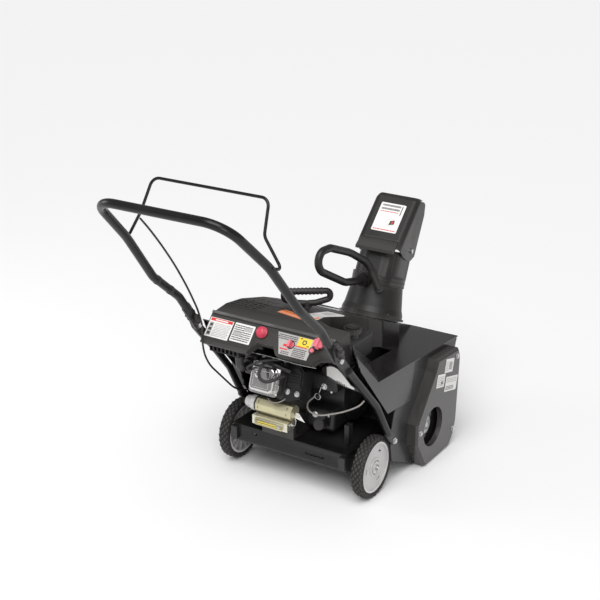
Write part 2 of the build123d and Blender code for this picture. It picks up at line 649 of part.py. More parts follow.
def cable(points, radius):
    """A round cable through the points, each bend as wide as its two runs allow."""
    bends = []
    for before, corner, after in zip(points, points[1:], points[2:]):
        first = Vector(*corner) - Vector(*before)
        second = Vector(*after) - Vector(*corner)
        turn = math.radians(first.get_angle(second))
        bends.append(0.45 * min(first.length, second.length) / math.tan(turn / 2))
    return bent_rod(points, bends, radius)


# Chute

def turned(solid):
    """Turns a chute piece about the ring's axis, to where the chute points at rest."""
    plane = ring_plane()
    axis = Axis(plane.origin, plane.z_dir)
    return solid.rotate(axis, CHUTE_TURN)


def chute_base():
    base = ring_disc(GAP, 5, FLANGE_R + 6) - ring_disc(0, 8, 92)
    nodes["chute_base_ring"] = base


def chute_lower():
    low, high = 5.3, CHUTE_NECK_W
    foot = ring_disc(low, low + 12, FLANGE_R)
    cone = loft([ring_plane(low + 12) * Circle(FLANGE_R), ring_plane(low + 30) * Circle(CHUTE_FOOT_R)])
    body = loft([ring_plane(low + 30) * Circle(CHUTE_FOOT_R), ring_plane(high) * Circle(CHUTE_NECK_R)])
    solid = foot + cone + body
    bore = loft([ring_plane(low - 1) * Circle(CHUTE_FOOT_R - 5), ring_plane(high + 1) * Circle(CHUTE_NECK_R - 4)])
    nodes["chute_lower"] = turned(solid - bore)


def trough(width, back, front, height, skin=0.0):
    """A U-shaped section, open towards the throw: x half width, back and front along the throw."""
    half = width / 2 - skin
    rear = back + skin
    corner = TROUGH_CORNER - skin
    bends = [polar(turn, corner) for turn in range(0, 91, 15)]
    right = [(half - corner + dx, rear + corner - dv) for dx, dv in bends]
    left = [(-x, v) for x, v in reversed(right)]
    points = [(-half, front), (half, front)] + right + left
    return ring_plane(height) * outline([(x, -v) for x, v in points])


def chute_upper():
    low, neck_top = CHUTE_NECK_W + 0.2, CHUTE_NECK_W + 34
    collar = ring_disc(low, neck_top, CHUTE_NECK_R + 3) - ring_disc(low - 1, neck_top + 1, CHUTE_NECK_R - 4)
    outer = loft([trough(148, -84, 62, neck_top - 6), trough(144, -66, 74, 262)], ruled=True)
    inner = loft([trough(148, -84, 100, neck_top - 7, 3.5), trough(144, -66, 110, 263, 3.5)], ruled=True)
    channel = outer - inner - side_profile([(-100, 226), (-30, 226), (10, 270), (-100, 270)], -90, 90)
    front_cut = extrude(ring_plane(neck_top - 12) * Pos(0, -100) * Rectangle(140, 76), amount=60)
    solid = collar + (channel - front_cut)
    for side in (1, -1):
        plane = ring_plane(DEFLECTOR_PIN_W)
        start = plane.origin - plane.y_dir * DEFLECTOR_PIN_V + plane.x_dir * side * 60
        stop = plane.origin - plane.y_dir * DEFLECTOR_PIN_V + plane.x_dir * side * 90
        solid -= rod(tuple(start), tuple(stop), 4.2)
    nodes["chute_upper"] = turned(solid)


def local_point(x, v, w):
    plane = ring_plane(w)
    return tuple(plane.origin + plane.x_dir * x - plane.y_dir * v)


def deflector():
    """The tilting cap: a sloped back, two cheeks and a lip that sheds snow over the chute's rim."""
    skin = 3.5
    half = 78.0
    profile = [(-80, 234), (-66, 262), (22, 404), (40, 415), (72, 416), (96, 404), (108, 366),
               (98, 290), (90, 222), (60, 206), (20, 204), (-30, 212)]
    outer = rounded_rim(side_profile(profile, -half, half), half, DEFLECTOR_ROUND)
    inner = side_profile([(-76, 234), (-61, 264), (26, 400), (42, 410), (200, 412), (200, 180),
                          (20, 180), (-30, 190), (-76, 200)], -half + skin, half - skin)
    inner = rounded_rim(inner, half - skin, DEFLECTOR_ROUND - skin)
    body = outer - inner
    lip = side_profile([(-80, 234), (-72, 246), (-68, 258), (-74, 256), (-106, 224), (-103, 214),
                        (-98, 217)], -66, 66)
    body += lip
    for side in (1, -1):
        body -= rod(local_point(side * 70, DEFLECTOR_PIN_V, DEFLECTOR_PIN_W),
                    local_point(side * 92, DEFLECTOR_PIN_V, DEFLECTOR_PIN_W), 4.2)
    nodes["chute_deflector"] = turned(body)
    bolts = []
    for side in (1, -1):
        def at(x):
            return local_point(side * x, DEFLECTOR_PIN_V, DEFLECTOR_PIN_W)
        bolt = rod(at(66), at(83), 4.2 - RUN_FIT) + rod(at(half + GAP), at(half + 5), 8)
        bolts.append(turned(bolt + rod(at(61), at(67), 7)))
    group("deflector_bolts", bolts)


def rounded_rim(solid, half, radius):
    """Rounds a deflector block where its back and top meet its two cheeks."""
    plane = ring_plane()

    def on_back(edge):
        middle = Vector(*(edge @ 0.5)) - plane.origin
        across, height = middle.dot(plane.x_dir), middle.dot(plane.z_dir)
        throw = -middle.dot(plane.y_dir)
        return abs(abs(across) - half) < 0.01 and height > 300 and throw < 84

    return fillet(solid.edges().filter_by(on_back), radius)


def side_profile(points, x_low, x_high):
    """A (throw, height) outline in the chute's frame, solid across x."""
    base = ring_plane()
    plane = Plane(origin=base.origin + base.x_dir * x_low, x_dir=-base.y_dir, z_dir=base.x_dir)
    sign = 1 if plane.y_dir.dot(base.z_dir) > 0 else -1
    face = plane * outline([(v, sign * w) for v, w in points])
    return extrude(face, amount=x_high - x_low, dir=base.x_dir)


def chute_loop():
    """The hand loop that turns the chute, from its hub on the collar back towards the operator."""
    route = [(0, -92, 116), (0, -226, 97), (0, -400, 120), (0, -446, 170), (0, -366, 196),
             (0, -233, 194), (-16, -128, 172), (-58, -98, 96)]
    points = [local_point(x, v, w) for x, v, w in route]
    loop = bent_rod(points, [120, 60, 30, 34, 200, 60], 12.5)
    hub = rod(local_point(0, -89.5, 117), local_point(0, -122, 111), 19)
    hub += rod(local_point(0, -98, 118), local_point(0, -106, 117), 23)
    foot = rod(local_point(-58, -98, 98), local_point(-48, -74, 98), 13)
    keep_out = ring_disc(100, 160, CHUTE_NECK_R + 3.3) + ring_disc(60, 100, CHUTE_NECK_R + 6)
    nodes["chute_loop"] = loop + hub + foot - keep_out


# Starter grip

def starter():
    top = (51.0, -98.0)
    yaw = 36.0
    z = 532.6

    def at(along, up):
        dx, dy = polar(yaw, along)
        return top[0] + dx, top[1] + dy, z + up

    route = [at(3, 11.5), at(28, 13), at(72, 26), at(74, 52), at(-74, 52), at(-72, 26), at(-28, 13),
             at(-3, 11.5)]
    grip = bent_rod(route, [30, 14, 14, 14, 14, 30], GRIP_R)
    for step in range(9):
        grip += rod(at(-48 + 12 * step, 52), at(-42 + 12 * step, 52), GRIP_R + 1.6)
    grip += rod(at(0, 0.5), at(0, 17), 12)
    nodes["starter_grip"] = grip
    nodes["starter_rope"] = rod((top[0], top[1], 430), at(0, 0.5), 2.5)
    guide = rod((top[0], top[1], 531), (top[0], top[1], 532.6), 15)
    guide += rod((top[0], top[1], 518), (top[0], top[1], 531), 7)
    nodes["hood"] += guide
    nodes["hood"] -= rod((top[0], top[1], 515), (top[0], top[1], 535), 3.2)


# Engine

def engine():
    case = rounded_block((CRANK_X - 72, -160, 200), (CRANK_X + 76, -30, 372), 16)
    case += block((CRANK_X - 73, -150, 166), (CRANK_X + 95, -10, 178))
    case += block((CRANK_X - 73, -150, 178), (CRANK_X + 80, -20, 206))
    case += block((CRANK_X - 75, -20, 166), (CRANK_X + 41, 92, 178))
    case += block((CRANK_X - 75, 78, 178), (CRANK_X + 41, 92, 240))
    case -= x_disc(CRANK_Y, CRANK_Z, CRANK_X - 90, CRANK_X + 90, CRANK_D / 2 + RUN_FIT)
    nodes["crankcase"] = case
    lean = math.radians(18.7)
    along = Vector(0, math.cos(lean), math.sin(lean))

    def station(distance):
        return Vector(CRANK_X, CRANK_Y, CRANK_Z) + along * distance

    barrel_plane = Plane(origin=station(84), x_dir=(1, 0, 0), z_dir=along)
    barrel = extrude(barrel_plane * Rectangle(78, 78), amount=148)
    for step in range(11):
        fin_plane = Plane(origin=station(98 + 12 * step), x_dir=(1, 0, 0), z_dir=along)
        barrel += extrude(fin_plane * RectangleRounded(110, 108, 12), amount=4)
    barrel -= block((CRANK_X - 90, -260, 190), (CRANK_X + 90, -29.8, 380))
    nodes["cylinder"] = barrel
    head_plane = Plane(origin=station(232.2), x_dir=(1, 0, 0), z_dir=along)
    nodes["cylinder_head"] = extrude(head_plane * RectangleRounded(100, 96, 10), amount=22)
    cover_plane = Plane(origin=station(254.4), x_dir=(1, 0, 0), z_dir=along)
    cover = extrude(cover_plane * RectangleRounded(84, 80, 14), amount=26)
    cover = fillet(cover.faces().sort_by(Axis.Y)[-1].edges(), 8)
    cover += extrude(cover_plane * RectangleRounded(102, 98, 12), amount=4)
    nodes["valve_cover"] = cover
    screws = []
    for dx in (-44.5, 44.5):
        for dy in (-42.5, 42.5):
            place = cover_plane.origin + cover_plane.x_dir * dx + cover_plane.y_dir * dy + along * 4
            screws.append(hex_bolt(tuple(place), tuple(along), 4, 4, 2.5, 0))
    blower = x_disc(CRANK_Y, CRANK_Z, -138, CRANK_X - 74, 96)
    blower += rounded_block((-138, CRANK_Y - 20, CRANK_Z + 36), (CRANK_X - 74, 34, CRANK_Z + 96), 12)
    blower += rounded_block((-128, -110, 190), (CRANK_X - 74, 28, 262), 14)
    blower -= x_disc(CRANK_Y, CRANK_Z, -134, CRANK_X - 73, 90)
    blower -= x_disc(CRANK_Y, CRANK_Z, -160, -130, 55)
    nodes["blower_housing"] = blower
    wheel = x_disc(CRANK_Y, CRANK_Z, -124, -70, 62)
    for turn in range(0, 360, 30):
        vane = block((-124, -1.5, 60), (-100, 1.5, 86))
        wheel += Pos(0, CRANK_Y, CRANK_Z) * Rot(turn, 0, 0) * vane
    wheel -= x_disc(CRANK_Y, CRANK_Z, -130, -60, 9.5)
    nodes["flywheel"] = wheel
    shaft = x_disc(CRANK_Y, CRANK_Z, CRANK_X - 60, CRANK_X + 120, CRANK_D / 2)
    shaft += x_disc(CRANK_Y, CRANK_Z, -136, CRANK_X - 60, 9.5)
    shaft += x_disc(CRANK_Y, CRANK_Z, CRANK_X + 120, BELT_X + 10, 10)
    nodes["crankshaft"] = shaft
    for x, z in ((-38, 346), (-96, 346), (-60, 240)):
        screws.append(hex_bolt((x, 34 if z > 300 else 28, z), (0, 1, 0), 8, 6, 4, 0))
    group("engine_bolts", screws)
    tank = rounded_block((-162, -150, 404), (-102, 34, 484), 14)
    tank += rod((CAP_X, CAP_Y, 470), (CAP_X, CAP_Y, CAP_Z - 1), 20)
    nodes["fuel_tank"] = tank
    cap = rod((CAP_X, CAP_Y, CAP_Z), (CAP_X, CAP_Y, CAP_Z + 16), 28)
    cap += rod((CAP_X, CAP_Y, CAP_Z + 15), (CAP_X, CAP_Y, CAP_Z + 20), 22)
    for turn in range(0, 360, 20):
        dx, dy = polar(turn, 29.5)
        cap -= rod((CAP_X + dx, CAP_Y + dy, CAP_Z - 1), (CAP_X + dx, CAP_Y + dy, CAP_Z + 18), 3)
    nodes["fuel_cap"] = cap


def engine_fittings():
    heater = block((130, 118, 436), (238, 166, 486))
    for step in range(7):
        x = 137 + 15 * step
        heater -= block((x, 158, 440), (x + 9, 170, 482))
    nodes["intake_box"] = heater
    carb = rounded_block((112, 40, 352), (158, 96, 420), 6)
    carb += rod((135, 96, 388), (135, 112, 388), 22)
    nodes["carburetor"] = carb
    elbow = [(135, 112.4, 388), (135, 150, 396), (150, 158, 436)]
    nodes["carburetor"] += bent_rod([elbow[0], elbow[1], (138, 151, 434)], [16], 13)
    muffler = rounded_block((138, -138, 330), (194, 10, 420), 12)
    muffler += rod((166, -138, 366), (166, -152, 366), 11)
    nodes["muffler"] = muffler
    motor = x_disc(106, 268, -34, 122, 27) + x_disc(106, 268, 122, 132, 21)
    nodes["starter_motor"] = motor + x_disc(106, 268, 132, 142, 17)
    box = block((-26, 92, 212), (103, 136, 240.6)) + block((-10, 136, 218), (90, 142, 235))
    nodes["starter_switch_box"] = box
    dip = rod((-96, 33, 216), (-96, 60, 226), 13)
    dip += rod((-96, 60, 226), (-96, 68, 230), 17)
    nodes["oil_cap"] = dip


def labels():
    """Plain adhesive plates: the places of the notices, with nothing written on them."""
    face = 0.5
    plane = panel_plane(0, 5, 0.02)
    panel_plates = []
    for x_low, x_high, top, low in ((-242, -152, 12, 76), (-146, -82, 12, 70)):
        points = [(x_low, -top), (x_high, -top), (x_high, -low), (x_low, -low)]
        panel_plates.append(plate_on(plane, points, face))
    right = plate_on(plane, [(2, -8), (130, -8), (126, -74), (30, -74)], face)
    for x, down, radius in ((-59, 44, 9.6), (-133, 46, 11.5), (-152, 24, 7)):
        right -= extrude(panel_plane(x, down, -5) * Circle(radius), amount=12)
    group("labels_panel", panel_plates + [right])
    near = HOUSING_X + SHEET + GAP / 4 + 38
    plates = []
    for y_low, y_high, z_low, z_high in ((-436, -398, 262, 318), (-372, -334, 236, 272),
                                         (-446, -392, 206, 252)):
        plates.append(mirrored(block((near + 0.02, y_low, z_low), (near + 0.5, y_high, z_high))))
    group("labels_side", plates)
    sheet = side_profile([(-54, 281.6), (9, 383.2), (8.6, 383.5), (-54.4, 281.9)], -45, 45)
    nodes["label_deflector"] = turned(sheet)


def main():
    wheels()
    frame()
    housing()
    side_covers()
    auger()
    belt_drive()
    shroud()
    hood()
    panel()
    controls()
    upper_handle()
    lower_handles()
    handle_hardware()
    bail()
    cables()
    chute_base()
    chute_lower()
    chute_upper()
    deflector()
    chute_loop()
    starter()
    engine()
    engine_fittings()
    labels()
    boxes = [solid.bounding_box() for solid in nodes.values()]
    low = [min(getattr(box.min, axis) for box in boxes) for axis in "XYZ"]
    high = [max(getattr(box.max, axis) for box in boxes) for axis in "XYZ"]
    shift = Pos(-(low[0] + high[0]) / 2, -(low[1] + high[1]) / 2, -low[2])
    print("shift to the base centre", shift.position)
    os.makedirs("parts", exist_ok=True)
    for name, solid in nodes.items():
        export_step(shift * solid, f"parts/{name}.step")


main()
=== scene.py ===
import json
import math
import random

import bpy
from mathutils import Matrix, Vector


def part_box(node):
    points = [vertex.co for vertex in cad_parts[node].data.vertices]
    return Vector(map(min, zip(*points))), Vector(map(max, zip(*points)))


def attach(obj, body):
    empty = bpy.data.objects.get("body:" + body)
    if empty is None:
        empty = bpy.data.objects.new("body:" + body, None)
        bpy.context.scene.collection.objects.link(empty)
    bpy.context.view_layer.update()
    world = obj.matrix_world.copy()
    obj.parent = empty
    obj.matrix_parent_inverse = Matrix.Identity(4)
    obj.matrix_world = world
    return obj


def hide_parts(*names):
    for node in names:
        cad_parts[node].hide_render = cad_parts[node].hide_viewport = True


# Looks for a single stage snowblower. Places are given in millimetres about the point on the
# ground under the axle: x to the operator's left, y to the rear, z up.

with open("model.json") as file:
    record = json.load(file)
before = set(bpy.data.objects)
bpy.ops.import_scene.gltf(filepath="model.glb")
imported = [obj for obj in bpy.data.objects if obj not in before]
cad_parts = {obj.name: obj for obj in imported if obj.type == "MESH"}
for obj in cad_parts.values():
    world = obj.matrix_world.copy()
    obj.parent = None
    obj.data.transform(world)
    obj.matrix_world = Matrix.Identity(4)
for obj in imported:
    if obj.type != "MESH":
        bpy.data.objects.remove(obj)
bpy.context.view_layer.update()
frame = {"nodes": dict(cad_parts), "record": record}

MM = 0.001
AXLE_LOW, AXLE_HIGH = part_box("axle")
AXLE_MID = (Vector(AXLE_LOW) + Vector(AXLE_HIGH)) / 2
GROUND = Vector((AXLE_MID.x, AXLE_MID.y, 0.0))

PANEL_TOP = (0.0, 134.0, 554.0)
PANEL_SLOPE = 48.0
CHUTE_TILT = 21.4
CHUTE_TURN = 8.0
RING_CENTRE = (0.0, -420.0, 405.0)
COVER_FACE_X = -308.6
DEFLECTOR_LEAN = 31.465
CYLINDER_LEAN = 18.7
CYLINDER_FOOT = (55.0, -110.0, 290.0)
BOLT_RADIUS, BOLT_HEIGHT = 7, 6

# The camera: degrees round from the mouth's side and up, a lens in mm, then metres from its aim,
# which is set off from the axle's ground point to the picture's right and up.
CAMERA_AZIMUTH, CAMERA_ELEVATION = 212.62, 21.09
CAMERA_LENS = 75.576
CAMERA_DISTANCE = 4.0411
CAMERA_SHIFT = (-0.0122, 0.5573)


def place(x, y, z):
    """A point given in millimetres about the axle's ground point, in the frame's metres."""
    return GROUND + Vector((x, y, z)) * MM


# Materials

def shader(name):
    material = bpy.data.materials.new(name)
    material.use_nodes = True
    nodes = material.node_tree.nodes
    links = material.node_tree.links
    return material, nodes, links, nodes["Principled BSDF"]


def noise(nodes, links, coords, scale, detail=3.0):
    node = nodes.new("ShaderNodeTexNoise")
    node.inputs["Scale"].default_value = scale
    node.inputs["Detail"].default_value = detail
    links.new(coords.outputs["Object"], node.inputs["Vector"])
    return node


def ramp(nodes, links, source, low, high, low_colour, high_colour):
    node = nodes.new("ShaderNodeValToRGB")
    node.color_ramp.elements[0].position = low
    node.color_ramp.elements[1].position = high
    node.color_ramp.elements[0].color = (*low_colour, 1)
    node.color_ramp.elements[1].color = (*high_colour, 1)
    links.new(source, node.inputs["Fac"])
    return node


def tinted(colour, factor):
    return tuple(min(1.0, channel * factor) for channel in colour)


def finish(name, colour, rough, metal=0.0, grain=0.1, grain_scale=900.0, vary=0.25, specular=0.5,
           coat=0.0, edge_highlight=None, brushed=None):
    """A surface with mottled colour, uneven gloss, a fine grain and, where asked, convex edges lightened as a
    painted highlight.
    """
    material, nodes, links, bsdf = shader(name)
    coords = nodes.new("ShaderNodeTexCoord")
    broad = noise(nodes, links, coords, 14.0, 5.0)
    fine = noise(nodes, links, coords, grain_scale, 2.0)
    if brushed:
        mapping = nodes.new("ShaderNodeMapping")
        mapping.inputs["Scale"].default_value = brushed
        links.new(coords.outputs["Object"], mapping.inputs["Vector"])
        links.new(mapping.outputs["Vector"], fine.inputs["Vector"])
    base = ramp(nodes, links, broad.outputs["Fac"], 0.3, 0.7, tinted(colour, 1 - vary),
                tinted(colour, 1 + vary))
    source = base.outputs["Color"]
    # Painted highlight: convex edges, picked out by pointiness, are mixed towards a lighter colour to stand
    # for light catching them.
    if edge_highlight:
        geometry = nodes.new("ShaderNodeNewGeometry")
        highlight_mask = ramp(nodes, links, geometry.outputs["Pointiness"], 0.54, 0.62, (0, 0, 0), (1, 1, 1))
        mix = nodes.new("ShaderNodeMix")
        mix.data_type = "RGBA"
        mix.inputs["B"].default_value = (*edge_highlight, 1)
        links.new(highlight_mask.outputs["Color"], mix.inputs["Factor"])
        links.new(source, mix.inputs["A"])
        source = mix.outputs["Result"]
    links.new(source, bsdf.inputs["Base Color"])
    gloss = ramp(nodes, links, broad.outputs["Fac"], 0.25, 0.75, (rough * 0.85,) * 3, (rough * 1.2,) * 3)
    links.new(gloss.outputs["Color"], bsdf.inputs["Roughness"])
    bump = nodes.new("ShaderNodeBump")
    bump.inputs["Strength"].default_value = grain
    bump.inputs["Distance"].default_value = 0.0004
    links.new(fine.outputs["Fac"], bump.inputs["Height"])
    links.new(bump.outputs["Normal"], bsdf.inputs["Normal"])
    bsdf.inputs["Metallic"].default_value = metal
    bsdf.inputs["Specular IOR Level"].default_value = specular
    bsdf.inputs["Coat Weight"].default_value = coat
    bsdf.inputs["Coat Roughness"].default_value = 0.12
    return material


BLACK = (0.012, 0.011, 0.0105)
WARM_BLACK = (0.0145, 0.0135, 0.0125)
# The lighter grey painted on the convex edges of black parts as a painted highlight.
EDGE_HIGHLIGHT_GREY = (0.05, 0.047, 0.044)

MATERIALS = {
    "body_black": finish("body_black", BLACK, 0.24, grain=0.04, coat=0.15, specular=0.45, edge_highlight=EDGE_HIGHLIGHT_GREY),
    "hood_black": finish("hood_black", (0.021, 0.0195, 0.0175), 0.5, grain=0.35, grain_scale=1500,
                         specular=0.3, edge_highlight=EDGE_HIGHLIGHT_GREY),
    "matte_black": finish("matte_black", WARM_BLACK, 0.42, grain=0.22, grain_scale=1400, specular=0.4,
                          edge_highlight=EDGE_HIGHLIGHT_GREY),
    "black_paint": finish("black_paint", (0.008, 0.0078, 0.0075), 0.3, grain=0.08, grain_scale=300,
                          specular=0.3, coat=0.08, edge_highlight=(0.03, 0.03, 0.03)),
    "engine_black": finish("engine_black", (0.011, 0.011, 0.011), 0.35, grain=0.2, grain_scale=500),
    "tyre_rubber": finish("tyre_rubber", (0.018, 0.017, 0.016), 0.62, grain=0.4, grain_scale=700,
                          specular=0.3, edge_highlight=(0.05, 0.048, 0.045)),
    "rim_grey": finish("rim_grey", (0.56, 0.55, 0.545), 0.4, metal=0.15, grain=0.1, vary=0.08,
                       edge_highlight=(0.75, 0.74, 0.73)),
    "auger_rubber": finish("auger_rubber", (0.02, 0.02, 0.02), 0.7, grain=0.5, grain_scale=450,
                           brushed=(300, 60, 60)),
    "zinc": finish("zinc", (0.62, 0.62, 0.62), 0.28, metal=1.0, grain=0.12, vary=0.12),
    "yellow_zinc": finish("yellow_zinc", (0.56, 0.52, 0.33), 0.33, metal=0.85, grain=0.12, vary=0.2,
                          edge_highlight=(0.75, 0.72, 0.6)),
    "cast_alloy": finish("cast_alloy", (0.07, 0.068, 0.066), 0.45, metal=0.6, grain=0.5, grain_scale=420,
                         vary=0.2),
    "stamped_steel": finish("stamped_steel", (0.72, 0.71, 0.7), 0.2, metal=1.0, grain=0.08, vary=0.06),
    "red_plastic": finish("red_plastic", (0.62, 0.045, 0.09), 0.35, grain=0.1, vary=0.12,
                          edge_highlight=(0.8, 0.2, 0.25)),
    "belt_rubber": finish("belt_rubber", (0.03, 0.03, 0.03), 0.75, grain=0.5, grain_scale=600),
    "label_white": finish("label_white", (0.8, 0.79, 0.77), 0.4, grain=0.03, vary=0.03),
    "trim_metal": finish("trim_metal", (0.16, 0.155, 0.15), 0.35, metal=0.8, grain=0.2,
                         brushed=(8, 400, 400)),
    "tank_grey": finish("tank_grey", (0.02, 0.02, 0.021), 0.45, grain=0.15),
    "shave_steel": finish("shave_steel", (0.35, 0.34, 0.33), 0.45, metal=1.0, grain=0.5,
                          brushed=(20, 600, 600), vary=0.3),
}
INKS = {
    "white": finish("ink_white", (0.8, 0.79, 0.77), 0.4, grain=0.02, vary=0.03),
    "grey": finish("ink_grey", (0.45, 0.44, 0.43), 0.4, grain=0.02, vary=0.05),
    "haze": finish("ink_haze", (0.6, 0.58, 0.56), 0.25, grain=0.02, vary=0.06),
    "dark": finish("ink_dark", (0.05, 0.045, 0.045), 0.4, grain=0.02, vary=0.1),
    "red": finish("ink_red", (0.66, 0.04, 0.035), 0.4, grain=0.02, vary=0.06),
    "yellow": finish("ink_yellow", (0.85, 0.66, 0.06), 0.4, grain=0.02, vary=0.05),
    "orange": finish("ink_orange", (0.82, 0.22, 0.06), 0.4, grain=0.02, vary=0.05),
    # Pale grey painted on thin black leads as a painted highlight.
    "cable": finish("ink_cable", (0.3, 0.28, 0.26), 0.4, grain=0.1, grain_scale=600, vary=0.1),
}


def paint_cad_nodes():
    """Each CAD node takes the finish that the record gives its slot."""
    slots = {row["node"]: row["material_slot"] for row in frame["record"]["subparts"]}
    for node, thing in frame["nodes"].items():
        thing.data.materials.clear()
        thing.data.materials.append(MATERIALS[slots[node]])


# Mesh builders

class Builder:
    """Gathers faces in millimetres, each with its own material, and makes one piece of them."""

    def __init__(self, to_frame=None):
        self.points = []
        self.faces = []
        self.inks = []
        self.materials = []
        self.to_frame = to_frame or Matrix.Translation(GROUND) @ Matrix.Scale(MM, 4)

    def ink(self, material):
        if material not in self.materials:
            self.materials.append(material)
        return self.materials.index(material)

    def add(self, points, faces, material, matrix=None):
        matrix = matrix or Matrix.Identity(4)
        start = len(self.points)
        self.points += [self.to_frame @ (matrix @ Vector(p)) for p in points]
        self.faces += [tuple(start + i for i in face) for face in faces]
        self.inks += [self.ink(material)] * len(faces)

    def prism(self, outline, low, high, material, matrix=None):
        count = len(outline)
        points = [(x, y, low) for x, y in outline] + [(x, y, high) for x, y in outline]
        faces = [tuple(reversed(range(count))), tuple(range(count, 2 * count))]
        for i in range(count):
            j = (i + 1) % count
            faces.append((i, j, count + j, count + i))
        self.add(points, faces, material, matrix)

    def bar(self, x, y, width, height, low, high, material, matrix=None):
        outline = [(x, y), (x + width, y), (x + width, y + height), (x, y + height)]
        self.prism(outline, low, high, material, matrix)

    def lathe(self, profile, material, matrix=None, segments=32, scallop=None):
        """A (radius, height) outline turned about z; scallop(angle) scales the radius."""
        points, faces = [], []
        for step in range(segments):
            angle = 2 * math.pi * step / segments
            for radius, height in profile:
                wide = radius * (scallop(angle, radius) if scallop else 1.0)
                points.append((wide * math.cos(angle), wide * math.sin(angle), height))
        count = len(profile)
        for step in range(segments):
            following = (step + 1) % segments
            for i in range(count - 1):
                faces.append((step * count + i, following * count + i, following * count + i + 1,
                              step * count + i + 1))
        faces.append(tuple(step * count + count - 1 for step in range(segments)))
        faces.append(tuple(step * count for step in reversed(range(segments))))
        self.add(points, faces, material, matrix)

    def build(self, name, body, bevel=0.0, smooth=False, segments=2):
        mesh = bpy.data.meshes.new(name)
        mesh.from_pydata([tuple(p) for p in self.points], [], self.faces)
        for material in self.materials:
            mesh.materials.append(material)
        mesh.polygons.foreach_set("material_index", self.inks)
        mesh.update()
        piece = bpy.data.objects.new(name, mesh)
        bpy.context.scene.collection.objects.link(piece)
        if bevel:
            modifier = piece.modifiers.new("soft_edges", "BEVEL")
            modifier.width = bevel * MM
            modifier.segments = segments
            modifier.limit_method = "ANGLE"
            modifier.angle_limit = math.radians(35)
        if smooth or bevel:
            smooth_by_angle(mesh)
        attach(piece, body)
        return piece


def smooth_by_angle(mesh, degrees=38):
    mesh.polygons.foreach_set("use_smooth", [True] * len(mesh.polygons))
    mesh.set_sharp_from_angle(angle=math.radians(degrees))


def local_frame(origin, x_axis, z_axis):
    """Millimetres in a tilted plane to the frame's metres: x and y in the plane, z out of it."""
    z = Vector(z_axis).normalized()
    x = Vector(x_axis)
    x = (x - z * x.dot(z)).normalized()
    y = z.cross(x)
    turn = Matrix((x, y, z)).transposed().to_4x4()
    return Matrix.Translation(place(*origin)) @ turn @ Matrix.Scale(MM, 4)


def panel_frame(x, down, out=0.0):
    """The control panel's face: x to the operator's right, y up the slope, z out."""
    slope = Vector((0, math.cos(math.radians(PANEL_SLOPE)), -math.sin(math.radians(PANEL_SLOPE))))
    normal = Vector((0, math.sin(math.radians(PANEL_SLOPE)), math.cos(math.radians(PANEL_SLOPE))))
    origin = Vector((x, *PANEL_TOP[1:])) + slope * down + normal * out
    return local_frame(origin, (-1, 0, 0), normal)


def chute_axes():
    """The turned chute's own directions: up its length, across it and back against the throw."""
    tilt = math.radians(CHUTE_TILT)
    up = Vector((0, -math.sin(tilt), math.cos(tilt)))
    across = Matrix.Rotation(math.radians(CHUTE_TURN), 3, up) @ Vector((1, 0, 0))
    return up, across, up.cross(across)


def chute_point(x, v, w):
    up, across, back = chute_axes()
    return Vector(RING_CENTRE) + across * x - back * v + up * w


def spline(points, steps=6):
    """A smooth run of points through the given ones."""
    knots = [Vector(p) for p in points]
    knots = [knots[0] * 2 - knots[1]] + knots + [knots[-1] * 2 - knots[-2]]
    run = []
    for a, b, c, d in zip(knots, knots[1:], knots[2:], knots[3:]):
        for step in range(steps):
            t = step / steps
            run.append((b * 2 + (c - a) * t + (a * 2 - b * 5 + c * 4 - d) * t ** 2
                        + (b * 3 - a - c * 3 + d) * t ** 3) * 0.5)
    return run + [knots[-2]]


def tube(builder, points, radius, material, sides=10):
    """A round wire, hose or lead along points, closed at both ends."""
    count = len(points)
    tangents = [(points[min(i + 1, count - 1)] - points[max(i - 1, 0)]).normalized() for i in range(count)]
    normal = tangents[0].orthogonal().normalized()
    verts, faces = [], []
    for point, tangent in zip(points, tangents):
        normal = (normal - tangent * normal.dot(tangent)).normalized()
        side = tangent.cross(normal)
        for step in range(sides):
            angle = 2 * math.pi * step / sides
            verts.append(point + (normal * math.cos(angle) + side * math.sin(angle)) * radius)
    for i in range(count - 1):
        for step in range(sides):
            following = (step + 1) % sides
            faces.append((i * sides + step, i * sides + following, (i + 1) * sides + following,
                          (i + 1) * sides + step))
    faces.append(tuple(reversed(range(sides))))
    faces.append(tuple(range((count - 1) * sides, count * sides)))
    builder.add(verts, faces, material)


def ring(builder, radius, thick, material, matrix=None, segments=32, sides=8):
    """A closed ring of round section about z."""
    verts, faces = [], []
    for step in range(segments):
        angle = 2 * math.pi * step / segments
        for corner in range(sides):
            turn = 2 * math.pi * corner / sides
            reach = radius + thick * math.cos(turn)
            verts.append((reach * math.cos(angle), reach * math.sin(angle), thick * math.sin(turn)))
    for step in range(segments):
        following = (step + 1) % segments
        for corner in range(sides):
            nearby = (corner + 1) % sides
            faces.append((step * sides + corner, following * sides + corner, following * sides + nearby,
                          step * sides + nearby))
    builder.add(verts, faces, material, matrix)


def hexagon(radius):
    return [(radius * math.cos(math.radians(60 * i)), radius * math.sin(math.radians(60 * i)))
            for i in range(6)]


def bolt(builder, matrix, radius, height, material):
    """A flanged hexagon head with a dished top."""
    builder.lathe([(radius * 1.3, 0), (radius * 1.3, height * 0.2), (radius * 1.15, height * 0.3)],
                  material, matrix, 24)
    builder.prism(hexagon(radius), height * 0.2, height, material, matrix)
    builder.lathe([(radius * 0.7, height), (radius * 0.6, height * 1.08)], material, matrix, 20)


# Printed labels: plain plates with bars where the notices would be

def text_rows(builder, x, y, width, height, rows, ink, seed, top=0.62, base=0.4):
    """Rows of short bars that stand for small print."""
    dice = random.Random(seed)
    pitch = height / rows
    for row in range(rows):
        left = x
        bottom = y + height - (row + 0.8) * pitch
        while left < x + width - 1.5:
            run = min(dice.uniform(2.5, 9.0), x + width - left)
            builder.bar(left, bottom, run, pitch * 0.5, base, top, ink)
            left += run + 1.1


